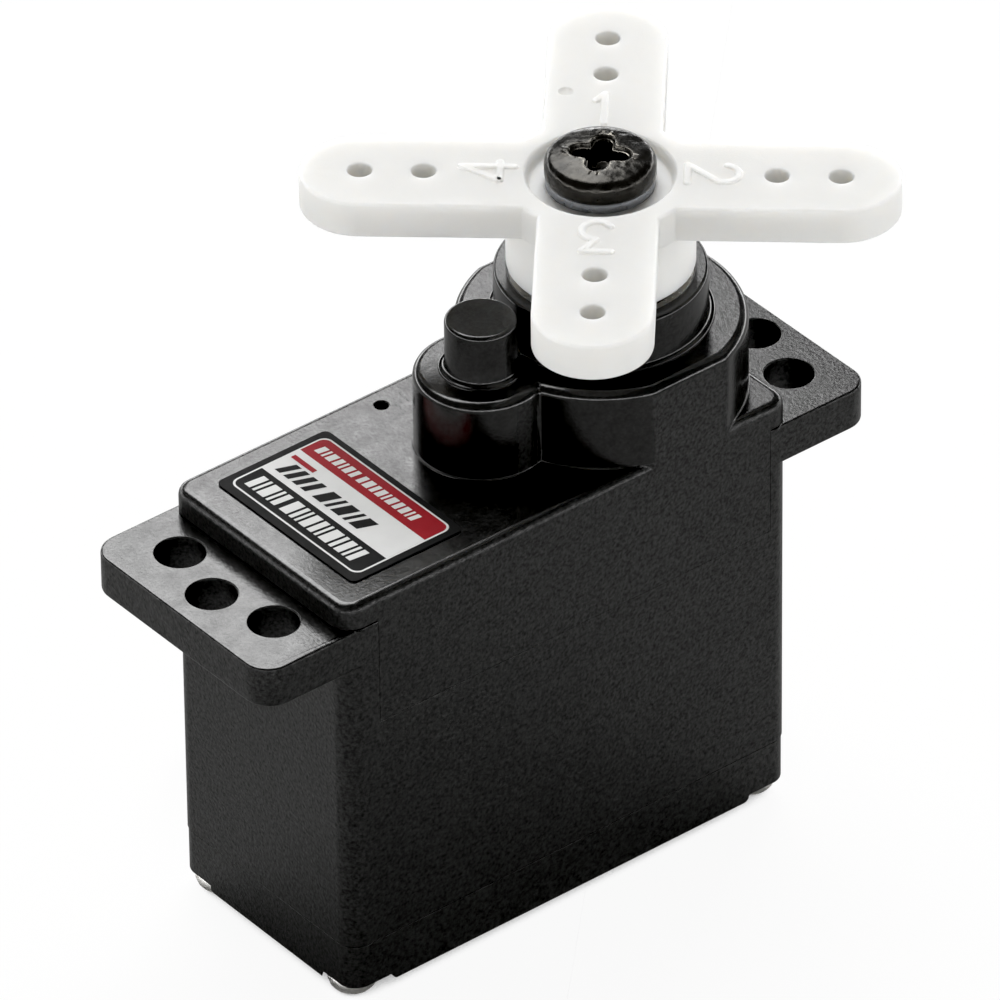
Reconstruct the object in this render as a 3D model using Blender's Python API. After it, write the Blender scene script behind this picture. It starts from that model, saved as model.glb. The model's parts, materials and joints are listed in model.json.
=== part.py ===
"""Micro servo motor with a four-armed horn, built piece by piece.

The output shaft's axis is the world's Z axis, and z = 0 is the underside of the bottom cover.
X runs along the case, with the motor at -X and the output shaft at the origin. Y runs across it.
Shapes are built in millimetres; finish() turns each piece into metres.
"""

import math

import bmesh
import bpy
from mathutils import Matrix, Vector

MM = 0.001

# Case
CASE_X0, CASE_X1 = -18.18, 5.42
CASE_HALF = 5.80
CASE_CORNER = 0.90
INNER_HALF = 5.00
COVER_TOP = 2.55
COVER_FLOOR = 0.80
DECK_LOW, DECK_TOP = 14.60, 15.40
EAR_X0, EAR_X1 = -22.40, 9.83
EAR_LOW, EAR_TOP = 16.90, 18.80
EAR_CORNER = 1.20
EAR_HOLE_RADIUS = 1.10
EAR_HOLES = [
    (-19.74, 3.10), (-20.52, 0.0), (-19.74, -3.10),
    (7.53, 3.10), (8.31, 0.0), (7.53, -3.10),
]
SKIRT_X0, SKIRT_X1, SKIRT_LOW = -16.45, 4.28, 13.70
ROOF_TOP = 20.02
TOWER_RADIUS, TOWER_TOP = 6.10, 23.76
EDGE_ROUND = 0.40
BOSS_RADIUS = 2.85
PIN_CAP_RADIUS, PIN_CAP_TOP = 1.52, 26.20
COLLAR_RADIUS, COLLAR_TOP = 4.46, 26.00
GAP = 0.02

# Case screws
SCREW_X = (-17.10, 4.35)
SCREW_Y = 4.45
SCREW_HEAD_RADIUS = 1.04
SCREW_SHANK_RADIUS = 0.58
POCKET_ROOF = 0.40

# Gear train. Each mesh's module follows from its teeth and its centre distance.
OUTPUT_AXIS = (0.0, 0.0)
PIN_AXIS = (-6.35, 0.0)
MOTOR_AXIS = (-11.90, 0.0)
PINION_TEETH, WHEEL_TEETH = 12, 32
MOTOR_TEETH, FIRST_TEETH = 8, 30
PRESSURE_ANGLE = math.radians(25)
ADDENDUM, DEDENDUM = 0.80, 1.05
BACKLASH = 0.035
PIN_RADIUS = 0.75
POT_SHAFT_RADIUS = 0.95
JOURNAL_RADIUS = 2.40
SPLINE_TEETH, SPLINE_TIP, SPLINE_ROOT = 24, 2.34, 2.14
SPLINE_TOP = 29.20

# Top bearing
BEARING_LOW, BEARING_TOP = 23.95, 25.87
BEARING_SEAT = 3.87
RACE_INNER, RACE_OUTER = 2.80, 3.50
BALLS, BALL_RADIUS = 9, 0.32

# Horn
HORN_TURN = math.radians(-41.1)
HORN_LOW, ARM_LOW, HORN_TOP = 26.30, 28.95, 30.60
HUB_RADIUS = 3.98
ARM_HALF, ARM_TIP = 2.50, 12.38
HORN_HOLES = (7.25, 9.88)
DISH_RADIUS, DISH_FLOOR = 3.00, 30.10

# Motor
CAN_RADIUS, CAN_WALL = 4.85, 0.30
CAN_LOW, CAN_TOP = 3.60, 14.50
MOTOR_SHAFT_RADIUS = 0.50

# Lead, three wires standing one above another
WIRE_RADIUS, WIRE_PITCH = 0.42, 0.92
PLUG_PITCH = 2.54


# ---------------------------------------------------------------- outlines


def circle(radius, count, centre=(0.0, 0.0)):
    """A regular outline with its corners on the circle and a flat towards +X."""
    step = 2 * math.pi / count
    cx, cy = centre
    return [
        (cx + radius * math.cos((i + 0.5) * step), cy + radius * math.sin((i + 0.5) * step))
        for i in range(count)
    ]


def arc(centre, radius, start, end, count):
    """Points on an arc, both ends included, angles in radians."""
    turn = (end - start) / (count - 1)
    return [
        (centre[0] + radius * math.cos(start + i * turn), centre[1] + radius * math.sin(start + i * turn))
        for i in range(count)
    ]


def rounded_rect(x0, x1, y0, y1, r, count=4):
    """A rectangle with round corners of radius r."""
    quarter = math.pi / 2
    return (
        arc((x1 - r, y0 + r), r, -quarter, 0, count)
        + arc((x1 - r, y1 - r), r, 0, quarter, count)
        + arc((x0 + r, y1 - r), r, quarter, 2 * quarter, count)
        + arc((x0 + r, y0 + r), r, 2 * quarter, 3 * quarter, count)
    )


def flatted_circle(radius, half, count=13):
    """A circle cut off by two flats at y = +half and y = -half."""
    swing = math.asin(half / radius)
    right = arc((0, 0), radius, -swing, swing, count)
    return right + [(-x, -y) for x, y in right]


def rectangle(x0, x1, y0, y1):
    return [(x0, y0), (x1, y0), (x1, y1), (x0, y1)]


def ring_sector(centre, inner, outer, middle, half_angle, count=9):
    """The outline of a curved bar, such as a motor magnet."""
    return arc(centre, outer, middle - half_angle, middle + half_angle, count) + arc(
        centre, inner, middle + half_angle, middle - half_angle, count
    )


def involute(angle):
    return math.tan(angle) - angle


def gear_outline(centre, teeth, module, phase, curved=True):
    """Involute teeth, one of them centred on the angle phase; a large wheel's flanks can be straight."""
    pitch = teeth * module / 2
    base = pitch * math.cos(PRESSURE_ANGLE)
    tip, root = pitch + ADDENDUM * module, pitch - DEDENDUM * module
    start = max(base, root + 0.02)
    at_pitch = math.pi / 2 / teeth - BACKLASH / (2 * pitch)

    def half_angle(radius):
        return at_pitch + involute(PRESSURE_ANGLE) - involute(math.acos(base / radius))

    stations = (start, (start + tip) / 2, tip) if curved else (start, tip)
    flank = [(radius, half_angle(radius)) for radius in stations]
    if start - root > 0.05:
        flank.insert(0, (root, half_angle(start)))
    points = []
    for i in range(teeth):
        middle = phase + 2 * math.pi * i / teeth
        for radius, half in [(r, -h) for r, h in flank] + [(r, h) for r, h in reversed(flank)]:
            angle = middle + half
            points.append((centre[0] + radius * math.cos(angle), centre[1] + radius * math.sin(angle)))
    return points


def spline_outline(tip, root, teeth=SPLINE_TEETH):
    """Straight-sided serrations round a shaft or inside a hub."""
    points = []
    for i in range(teeth):
        for radius, share in ((root, -0.32), (tip, -0.14), (tip, 0.14), (root, 0.32)):
            angle = 2 * math.pi * (i + share) / teeth
            points.append((radius * math.cos(angle), radius * math.sin(angle)))
    return points


def moved(outline, centre):
    return [(x + centre[0], y + centre[1]) for x, y in outline]


def turned(outline, angle):
    c, s = math.cos(angle), math.sin(angle)
    return [(x * c - y * s, x * s + y * c) for x, y in outline]


# ------------------------------------------------------------------ solids


def to_object(name, bm):
    """Turns a bmesh into an object, with its faces pointing out."""
    bmesh.ops.recalc_face_normals(bm, faces=bm.faces)
    mesh = bpy.data.meshes.new(name)
    bm.to_mesh(mesh)
    bm.free()
    piece = bpy.data.objects.new(name, mesh)
    bpy.context.collection.objects.link(piece)
    return piece


def extruded(outline, z0, z1):
    """A bmesh of an outline's face, extruded upwards."""
    bm = bmesh.new()
    base = bm.faces.new([bm.verts.new((x, y, z0)) for x, y in outline])
    grown = bmesh.ops.extrude_face_region(bm, geom=[base])
    raised = [v for v in grown["geom"] if isinstance(v, bmesh.types.BMVert)]
    bmesh.ops.translate(bm, vec=(0.0, 0.0, z1 - z0), verts=raised)
    return bm


def prism(name, outline, z0, z1):
    """An upright block over an outline."""
    return to_object(name, extruded(outline, z0, z1))


def box(name, x0, x1, y0, y1, z0, z1):
    bm = bmesh.new()
    bmesh.ops.create_cube(bm, size=1.0)
    bmesh.ops.scale(bm, vec=(x1 - x0, y1 - y0, z1 - z0), verts=bm.verts)
    bmesh.ops.translate(bm, vec=((x0 + x1) / 2, (y0 + y1) / 2, (z0 + z1) / 2), verts=bm.verts)
    return to_object(name, bm)


def rounded_plate(name, outline, z0, z1, edge, segments=2):
    """An upright block whose top edge is rounded."""
    bm = extruded(outline, z0, z1)
    rim = [e for e in bm.edges if all(abs(v.co.z - z1) < 1e-4 for v in e.verts)]
    bmesh.ops.bevel(bm, geom=rim, offset=edge, segments=segments, profile=0.5, affect="EDGES")
    return to_object(name, bm)


def spun(profile, count, centre, closed):
    """A bmesh of (radius, z) points spun once round an upright axis."""
    bm = bmesh.new()
    verts = [bm.verts.new((radius, 0.0, z)) for radius, z in profile]
    pairs = list(zip(verts, verts[1:])) + ([(verts[-1], verts[0])] if closed else [])
    edges = [bm.edges.new(pair) for pair in pairs]
    bmesh.ops.rotate(bm, cent=(0, 0, 0), matrix=Matrix.Rotation(math.pi / count, 3, "Z"), verts=verts)
    bmesh.ops.spin(
        bm, geom=verts + edges, cent=(0, 0, 0), axis=(0, 0, 1), angle=2 * math.pi, steps=count, use_merge=True
    )
    bmesh.ops.translate(bm, vec=(centre[0], centre[1], 0.0), verts=bm.verts)
    return bm


def turned_solid(name, centre, profile, count):
    """A turned body, from the (radius, z) points of its side, with flat ends."""
    bm = spun(profile, count, centre, closed=False)
    bmesh.ops.holes_fill(bm, edges=[e for e in bm.edges if e.is_boundary], sides=count)
    return to_object(name, bm)


def turned_ring(name, centre, profile, count):
    """A turned ring, from the corners of its section, which stays clear of the axis."""
    return to_object(name, spun(profile, count, centre, closed=True))


def ball(name, centre, radius):
    bm = bmesh.new()
    place = Matrix.Translation(centre)
    bmesh.ops.create_uvsphere(bm, u_segments=8, v_segments=6, radius=radius, matrix=place)
    return to_object(name, bm)


def tube(name, path, radius, resolution=1):
    """A round wire along a path of (x, y, z) points."""
    curve = bpy.data.curves.new(name, "CURVE")
    curve.dimensions = "3D"
    curve.bevel_depth = radius
    curve.bevel_resolution = resolution
    curve.use_fill_caps = True
    line = curve.splines.new("POLY")
    line.points.add(len(path) - 1)
    for point, place in zip(line.points, path):
        point.co = (*place, 1.0)
    guide = bpy.data.objects.new(name, curve)
    bpy.context.collection.objects.link(guide)
    shape = bpy.data.meshes.new_from_object(guide.evaluated_get(bpy.context.evaluated_depsgraph_get()))
    bpy.data.objects.remove(guide)
    bm = bmesh.new()
    bm.from_mesh(shape)
    bmesh.ops.remove_doubles(bm, verts=bm.verts, dist=0.001)
    return to_object(name, bm)


# ---------------------------------------------------------------- booleans


def combine(piece, others, operation):
    """Unites other solids with a piece, or cuts them out of it, all at once, and removes them."""
    tools = bpy.data.collections.new("tools")
    for other in others:
        tools.objects.link(other)
    change = piece.modifiers.new(operation.lower(), "BOOLEAN")
    change.solver = "EXACT"
    change.operation = operation
    change.operand_type = "COLLECTION"
    change.collection = tools
    depsgraph = bpy.context.evaluated_depsgraph_get()
    result = bpy.data.meshes.new_from_object(piece.evaluated_get(depsgraph))
    piece.modifiers.clear()
    piece.data = result
    for other in others:
        bpy.data.objects.remove(other)
    bpy.data.collections.remove(tools)
    return piece


def add(piece, *others):
    return combine(piece, others, "UNION")


def cut(piece, *others):
    return combine(piece, others, "DIFFERENCE")


# --------------------------------------------------------------- materials


def material(name, colour, roughness, metallic=0.0):
    """A plain surface; pieces of the same stuff share one."""
    made = bpy.data.materials.get(name)
    if made:
        return made
    made = bpy.data.materials.new(name)
    made.use_nodes = True
    surface = made.node_tree.nodes["Principled BSDF"]
    surface.inputs["Base Color"].default_value = (*colour, 1.0)
    surface.inputs["Roughness"].default_value = roughness
    surface.inputs["Metallic"].default_value = metallic
    made.diffuse_color = (*colour, 1.0)
    return made


MATERIALS = {
    "black_plastic": ((0.030, 0.030, 0.027), 0.45, 0.0),
    "white_nylon": ((0.80, 0.80, 0.78), 0.40, 0.0),
    "gear_nylon": ((0.78, 0.76, 0.68), 0.42, 0.0),
    "gear_carbonite": ((0.10, 0.10, 0.10), 0.40, 0.0),
    "black_oxide_steel": ((0.035, 0.035, 0.038), 0.35, 0.9),
    "zinc_steel": ((0.60, 0.60, 0.58), 0.30, 1.0),
    "polished_steel": ((0.66, 0.66, 0.66), 0.15, 1.0),
    "can_steel": ((0.55, 0.55, 0.54), 0.30, 1.0),
    "brass": ((0.72, 0.53, 0.24), 0.30, 1.0),
    "copper": ((0.70, 0.32, 0.16), 0.35, 1.0),
    "ferrite": ((0.06, 0.055, 0.055), 0.70, 0.0),
    "circuit_board": ((0.03, 0.16, 0.06), 0.45, 0.0),
    "chip_epoxy": ((0.025, 0.025, 0.027), 0.55, 0.0),
    "tantalum_case": ((0.80, 0.42, 0.06), 0.45, 0.0),
    "label_film": ((0.72, 0.72, 0.70), 0.35, 0.0),
    "grommet_rubber": ((0.020, 0.020, 0.020), 0.75, 0.0),
    "wire_black": ((0.020, 0.020, 0.020), 0.50, 0.0),
    "wire_red": ((0.55, 0.03, 0.02), 0.50, 0.0),
    "wire_yellow": ((0.80, 0.55, 0.05), 0.50, 0.0),
    "phenolic": ((0.20, 0.11, 0.06), 0.55, 0.0),
}


def finish(piece, slot, axis=None, smooth_below=35):
    """Turns a piece into metres, puts its origin on its joint axis and gives it its material."""
    centre = Vector((axis[0], axis[1], 0.0)) if axis else Vector((0.0, 0.0, 0.0))
    piece.data.transform(Matrix.Scale(MM, 4) @ Matrix.Translation(-centre))
    piece.location = centre * MM
    piece.data.materials.clear()
    piece.data.materials.append(material(slot, *MATERIALS[slot]))
    piece.data.shade_smooth()
    piece.data.set_sharp_from_angle(angle=math.radians(smooth_below))
    return piece


# -------------------------------------------------------------------- case


def screw_places():
    return [(x, y) for x in SCREW_X for y in (-SCREW_Y, SCREW_Y)]


def corner_notch(x, y):
    """The cutter for the open pocket that a case screw's head sits in."""
    outer_x = x + math.copysign(3.0, x - (CASE_X0 + CASE_X1) / 2)
    outer_y = y + math.copysign(3.0, y)
    inner_x = x - math.copysign(1.15, outer_x - x)
    inner_y = y - math.copysign(0.50, outer_y - y)
    spans = sorted((inner_x, outer_x)) + sorted((inner_y, outer_y))
    block = prism("notch", rounded_rect(*spans, 0.5), -1.0, POCKET_ROOF)
    return add(block, prism("round", circle(1.25, 16, (x, y)), -1.2, POCKET_ROOF))


def case_outline():
    return rounded_rect(CASE_X0, CASE_X1, -CASE_HALF, CASE_HALF, CASE_CORNER)


def make_bottom_cover():
    cover = prism("bottom_cover", case_outline(), 0.0, COVER_TOP)
    lips = [
        box("lip", -15.70, 3.00, side - 0.265, side + 0.265, COVER_TOP - 1.0, 3.10)
        for side in (-4.685, 4.685)
    ]
    add(cover, *lips)
    tools = [
        box("long_well", -17.38, 4.62, -3.20, 3.20, COVER_FLOOR, 4.0),
        box("wide_well", -15.70, 3.00, -4.42, 4.42, COVER_FLOOR, 4.1),
    ]
    for place in screw_places():
        tools.append(corner_notch(*place))
        tools.append(prism("screw_hole", circle(0.66, 10, place), -0.5, 4.0))
    cut(cover, *tools)
    return finish(cover, "black_plastic")


def make_middle_case():
    """The main case: a tube with a deck for the gears, and the two ears."""
    low = COVER_TOP + GAP
    case = prism("middle_case", case_outline(), low, EAR_TOP)
    ears = rounded_rect(EAR_X0, EAR_X1, -CASE_HALF, CASE_HALF, EAR_CORNER)
    add(case, prism("ears", ears, EAR_LOW, EAR_TOP))
    tools = [
        box("long_chamber", -17.38, 4.62, -3.25, 3.25, 1.0, DECK_LOW),
        box("wide_chamber", -15.90, 3.15, -INNER_HALF, INNER_HALF, 0.9, DECK_LOW),
        box("gear_room", -13.90, 0.35, -INNER_HALF, INNER_HALF, DECK_TOP, 20.0),
        prism("round_room", flatted_circle(5.15, INNER_HALF + 0.01), EAR_LOW, 20.5),
        prism("shaft_room", circle(4.70, 28), DECK_TOP, EAR_LOW + 0.5),
        prism("motor_nose_hole", circle(1.66, 16, MOTOR_AXIS), 14.0, 16.0),
        prism("pot_bush_hole", circle(1.94, 20), 14.0, 16.0),
        prism("pin_seat", circle(PIN_RADIUS + 0.03, 14, PIN_AXIS), 14.85, 16.0),
        box("lead_notch", 4.0, 7.0, -0.75, 0.75, 1.0, 5.80),
    ]
    for side in (-1, 1):
        y0, y1 = sorted((side * (INNER_HALF - GAP), side * 7.0))
        tools.append(box("skirt_slot", SKIRT_X0 - GAP, SKIRT_X1 + GAP, y0, y1, SKIRT_LOW - GAP, 21.0))
    for place in screw_places():
        tools.append(prism("screw_hole", circle(0.66, 10, place), 1.0, 17.5))
        tools.append(prism("post_seat", circle(0.88, 12, place), EAR_LOW, 20.0))
    tools += [prism("ear_hole", circle(EAR_HOLE_RADIUS, 20, place), 16.0, 20.0) for place in EAR_HOLES]
    cut(case, *tools)
    return finish(case, "black_plastic")


def make_top_case():
    """The gear cover: roof, skirts, tower, bearing collar and the cap over the gear pin."""
    plate_low = EAR_TOP + GAP
    case = rounded_plate("top_case", case_outline(), SKIRT_LOW, ROOF_TOP, EDGE_ROUND)
    outline = flatted_circle(TOWER_RADIUS, CASE_HALF)
    tower = rounded_plate("tower", outline, SKIRT_LOW + 2.0, TOWER_TOP, EDGE_ROUND)
    boss = rounded_plate("boss", circle(BOSS_RADIUS, 28, PIN_AXIS), ROOF_TOP - 0.5, TOWER_TOP, EDGE_ROUND)
    collar = rounded_plate("collar", circle(COLLAR_RADIUS, 40), 22.0, COLLAR_TOP, 0.15, 1)
    cap = rounded_plate("pin_cap", circle(PIN_CAP_RADIUS, 20, PIN_AXIS), 22.1, PIN_CAP_TOP, 0.2, 1)
    add(case, tower, boss, collar, cap)
    cut(
        case,
        box("left_end", -20.0, SKIRT_X0, -8.0, 8.0, 12.0, plate_low),
        box("right_end", SKIRT_X1, 12.0, -8.0, 8.0, 12.0, plate_low),
        box("between", SKIRT_X0 - 0.5, SKIRT_X1 + 0.5, -INNER_HALF - GAP, INNER_HALF + GAP, 11.0, plate_low),
    )
    posts = [
        prism("post", circle(0.84, 12, place), EAR_LOW + 0.03, EAR_TOP + 0.6)
        for place in screw_places()
    ]
    add(case, *posts)
    tools = [
        box("wheel_recess", -12.2, 0.25, -INNER_HALF, INNER_HALF, 18.0, 19.25),
        prism("tower_room", flatted_circle(5.20, INNER_HALF + 0.01), 18.1, 22.80),
        prism("boss_room", circle(2.15, 20, PIN_AXIS), 18.2, 22.80),
        prism("pin_seat", circle(PIN_RADIUS + 0.03, 14, PIN_AXIS), 22.0, 25.40),
        prism("shaft_hole", circle(2.95, 28), 22.0, 26.5),
        prism("bearing_seat", circle(BEARING_SEAT, 40), BEARING_LOW - 0.03, 27.0),
        prism("vent", circle(0.30, 8, (-8.00, 4.60)), 18.5, 21.0),
    ]
    tools += [prism("thread_hole", circle(0.61, 10, place), 16.0, 19.55) for place in screw_places()]
    cut(case, *tools)
    return finish(case, "black_plastic")


def make_case_screw(name, place):
    """A long self-tapping screw; its domed head is below the case corner."""
    seat = POCKET_ROOF - 0.01
    profile = [
        (0.60, -0.42), (0.93, -0.22), (SCREW_HEAD_RADIUS, 0.10), (SCREW_HEAD_RADIUS, seat),
        (SCREW_SHANK_RADIUS, seat), (SCREW_SHANK_RADIUS, 19.40),
    ]
    head = turned_solid(name, place, profile, 14)
    x, y = place
    cross = box("cross_a", x - 0.55, x + 0.55, y - 0.12, y + 0.12, -1.0, -0.02)
    add(cross, box("cross_b", x - 0.12, x + 0.12, y - 0.55, y + 0.55, -1.1, -0.02))
    cut(head, cross)
    return finish(head, "zinc_steel")


def make_label():
    outline = rounded_rect(-16.70, -10.90, -4.45, 4.60, 0.30)
    return finish(prism("label", outline, ROOF_TOP + 0.01, ROOF_TOP + 0.08), "label_film")


# ------------------------------------------------------------------- gears


def mesh_module(distance, small, large):
    return 2 * distance / (small + large)


STAGE_MODULE = mesh_module(abs(PIN_AXIS[0]), PINION_TEETH, WHEEL_TEETH)
FIRST_MODULE = mesh_module(PIN_AXIS[0] - MOTOR_AXIS[0], MOTOR_TEETH, FIRST_TEETH)
TO_RIGHT, TO_LEFT = 0.0, math.pi


def gap_phase(teeth, direction):
    """The phase that turns a gap between two teeth towards a direction."""
    return direction + math.pi / teeth


def make_compound_gear(name, axis, bore, wheel, pinion, levels, slot, hub_radius=1.25):
    """A wheel with a smaller pinion above it, on one bore. levels are z of foot, wheel, pinion and top."""
    foot, wheel_low, pinion_low, top = levels
    inside = (wheel_low + pinion_low) / 2
    gear = prism(name, wheel, wheel_low, pinion_low)
    hub = prism("hub", circle(hub_radius, 16, axis), foot, inside - 0.1)
    add(gear, prism("pinion", pinion, inside, top), hub)
    cut(gear, prism("bore", circle(bore, 16, axis), foot - 1.0, top + 1.0))
    return finish(gear, slot, axis)


def make_gears():
    facing_right = gap_phase(WHEEL_TEETH, TO_RIGHT)
    facing_left = gap_phase(WHEEL_TEETH, TO_LEFT)
    wheel_at_pin = gear_outline(PIN_AXIS, WHEEL_TEETH, STAGE_MODULE, facing_right, False)
    wheel_at_output = gear_outline(OUTPUT_AXIS, WHEEL_TEETH, STAGE_MODULE, facing_left, False)
    pinion_at_pin = gear_outline(PIN_AXIS, PINION_TEETH, STAGE_MODULE, TO_RIGHT)
    pinion_at_output = gear_outline(OUTPUT_AXIS, PINION_TEETH, STAGE_MODULE, TO_LEFT)
    first_wheel = gear_outline(PIN_AXIS, FIRST_TEETH, FIRST_MODULE, gap_phase(FIRST_TEETH, TO_LEFT), False)

    make_compound_gear(
        "first_gear", PIN_AXIS, PIN_RADIUS + 0.03, first_wheel, pinion_at_pin,
        (15.43, 15.70, 16.70, 18.15), "gear_nylon",
    )
    make_compound_gear(
        "second_gear", OUTPUT_AXIS, POT_SHAFT_RADIUS + 0.03, wheel_at_output, pinion_at_output,
        (15.45, 17.00, 18.00, 19.20), "gear_nylon", 1.30,
    )
    make_compound_gear(
        "third_gear", PIN_AXIS, PIN_RADIUS + 0.03, wheel_at_pin, pinion_at_pin,
        (18.20, 18.35, 19.10, 22.55), "gear_carbonite",
    )
    make_output_gear(wheel_at_output)
    pin = turned_solid("gear_pin", PIN_AXIS, [(PIN_RADIUS, 14.88), (PIN_RADIUS, 25.35)], 20)
    finish(pin, "polished_steel")


def d_outline(radius, flat, count=18):
    """A shaft's round outline with one flat, facing +X."""
    swing = math.acos(flat / radius)
    return arc((0, 0), radius, swing, 2 * math.pi - swing, count)


def make_output_gear(wheel):
    """The last gear, its bearing journal and the splined end that the horn fits on."""
    gear = prism("output_gear", wheel, 19.45, 21.90)
    add(
        gear,
        prism("foot", circle(1.90, 20), 19.25, 20.50),
        prism("shoulder", circle(2.72, 32), 21.00, BEARING_LOW - 0.02),
        prism("journal", circle(JOURNAL_RADIUS, 32), 22.50, 26.15),
        prism("spline", spline_outline(SPLINE_TIP, SPLINE_ROOT), 25.20, SPLINE_TOP),
    )
    cut(
        gear,
        prism("pot_socket", d_outline(POT_SHAFT_RADIUS + 0.03, 0.63), 18.0, 21.85),
        prism("screw_well", circle(0.80, 14), SPLINE_TOP - 4.80, 32.0),
    )
    return finish(gear, "gear_carbonite", OUTPUT_AXIS)


def make_bearing():
    low, top = BEARING_LOW, BEARING_TOP
    outer = BEARING_SEAT - 0.03
    inner = JOURNAL_RADIUS + 0.02
    section = [(outer, top), (outer, low), (RACE_OUTER, low), (RACE_OUTER, top)]
    finish(turned_ring("bearing_outer_ring", OUTPUT_AXIS, section, 36), "polished_steel")
    section = [(RACE_INNER, top), (RACE_INNER, low), (inner, low), (inner, top)]
    inner_ring = turned_ring("bearing_inner_ring", OUTPUT_AXIS, section, 32)
    finish(inner_ring, "polished_steel", OUTPUT_AXIS)
    middle = (RACE_INNER + RACE_OUTER) / 2
    height = (low + top) / 2
    near, far = middle - 0.10, middle + 0.10
    section = [(far, height + 0.14), (far, height - 0.10), (near, height - 0.10), (near, height + 0.14)]
    cage = turned_ring("bearing_ball_cage", OUTPUT_AXIS, section, 24)
    add(cage, *[ball("ball", (x, y, height), BALL_RADIUS) for x, y in circle(middle, BALLS)])
    finish(cage, "polished_steel", OUTPUT_AXIS)


# -------------------------------------------------------------------- horn


def horn_outline():
    """Four round-ended arms, with the hub's edge showing between them."""
    hub = HUB_RADIUS + 0.04
    reach = math.sqrt(hub * hub - ARM_HALF * ARM_HALF)
    corner = math.atan2(ARM_HALF, reach)
    arm = arc((ARM_TIP - ARM_HALF, 0), ARM_HALF, -math.pi / 2, math.pi / 2, 13)
    between = arc((0, 0), hub, corner, math.pi / 2 - corner, 3)
    quarter = arm + between
    return [p for i in range(4) for p in turned(quarter, i * math.pi / 2)]


def make_horn():
    horn = prism("horn", turned(horn_outline(), HORN_TURN), ARM_LOW, HORN_TOP)
    add(horn, prism("hub", circle(HUB_RADIUS - 0.05, 40), HORN_LOW, (ARM_LOW + HORN_TOP) / 2))
    tools = [
        prism("socket", spline_outline(SPLINE_TIP + 0.03, SPLINE_ROOT + 0.03), 25.0, 29.40),
        prism("screw_hole", circle(1.10, 16), 26.0, 31.0),
        prism("dish", circle(DISH_RADIUS, 36), DISH_FLOOR, 32.0),
    ]
    for arm in range(4):
        for reach in HORN_HOLES:
            angle = HORN_TURN + arm * math.pi / 2
            place = (reach * math.cos(angle), reach * math.sin(angle))
            tools.append(prism("arm_hole", circle(0.50, 10, place), 28.0, 32.5))
    cut(horn, *tools)
    return finish(horn, "white_nylon", OUTPUT_AXIS)


def make_horn_screw():
    profile = [
        (0.75, 24.75), (0.75, DISH_FLOOR + 0.02), (2.32, DISH_FLOOR + 0.02), (2.32, 31.02),
        (2.24, 31.34), (2.04, 31.58), (1.60, 31.66),
    ]
    screw = turned_solid("horn_screw", OUTPUT_AXIS, profile, 24)
    cross = box("cross_a", -1.20, 1.20, -0.26, 0.26, 30.75, 33.0)
    add(cross, box("cross_b", -0.26, 0.26, -1.20, 1.20, 30.75, 33.1))
    cross.data.transform(Matrix.Rotation(HORN_TURN - math.radians(8.5), 4, "Z"))
    cut(screw, cross)
    return finish(screw, "black_oxide_steel", OUTPUT_AXIS)


# ------------------------------------------------------------------- motor


def at_motor(x, y):
    return (MOTOR_AXIS[0] + x, MOTOR_AXIS[1] + y)


def make_motor_can():
    inner = CAN_RADIUS - CAN_WALL
    profile = [
        (1.60, 15.30), (1.60, CAN_TOP),
        (CAN_RADIUS - 0.3, CAN_TOP), (CAN_RADIUS, CAN_TOP - 0.3), (CAN_RADIUS, CAN_LOW),
        (inner, CAN_LOW), (inner, CAN_TOP - CAN_WALL), (MOTOR_SHAFT_RADIUS + 0.03, CAN_TOP - CAN_WALL),
        (MOTOR_SHAFT_RADIUS + 0.03, 15.30),
    ]
    return finish(turned_ring("motor_can", MOTOR_AXIS, profile, 32), "can_steel")


def make_motor_magnets():
    for name, middle in (("motor_magnet_front", -math.pi / 2), ("motor_magnet_rear", math.pi / 2)):
        outline = ring_sector(MOTOR_AXIS, 3.75, CAN_RADIUS - CAN_WALL - 0.03, middle, math.radians(62))
        finish(prism(name, outline, 5.20, 13.20), "ferrite")


def make_motor_end():
    """The plastic end of the motor, with slots that the two brush springs pass through."""
    edge = CAN_RADIUS - CAN_WALL - 0.03
    bore = MOTOR_SHAFT_RADIUS + 0.03
    section = [(edge, 4.20), (edge, 3.20), (bore, 3.20), (bore, 4.20)]
    end = turned_ring("motor_end_bell", MOTOR_AXIS, section, 28)
    for side in (-1, 1):
        x0, x1 = sorted((MOTOR_AXIS[0] + side * 2.97, MOTOR_AXIS[0] + side * 3.33))
        cut(end, box("slot", x0, x1, -0.53, 0.53, 2.0, 5.0))
    finish(end, "chip_epoxy")
    for name, side in (("motor_brush_left", -1), ("motor_brush_right", 1)):
        bent = [(0.96, 4.45), (3.30, 4.45), (3.30, 2.35), (3.00, 2.35), (3.00, 4.25), (0.96, 4.25)]
        outline = [(MOTOR_AXIS[0] + side * x, z) for x, z in (bent if side < 0 else bent[::-1])]
        brush = prism(name, outline, -0.50, 0.50)
        brush.data.transform(Matrix.Rotation(math.pi / 2, 4, "X"))
        finish(brush, "copper")


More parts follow.
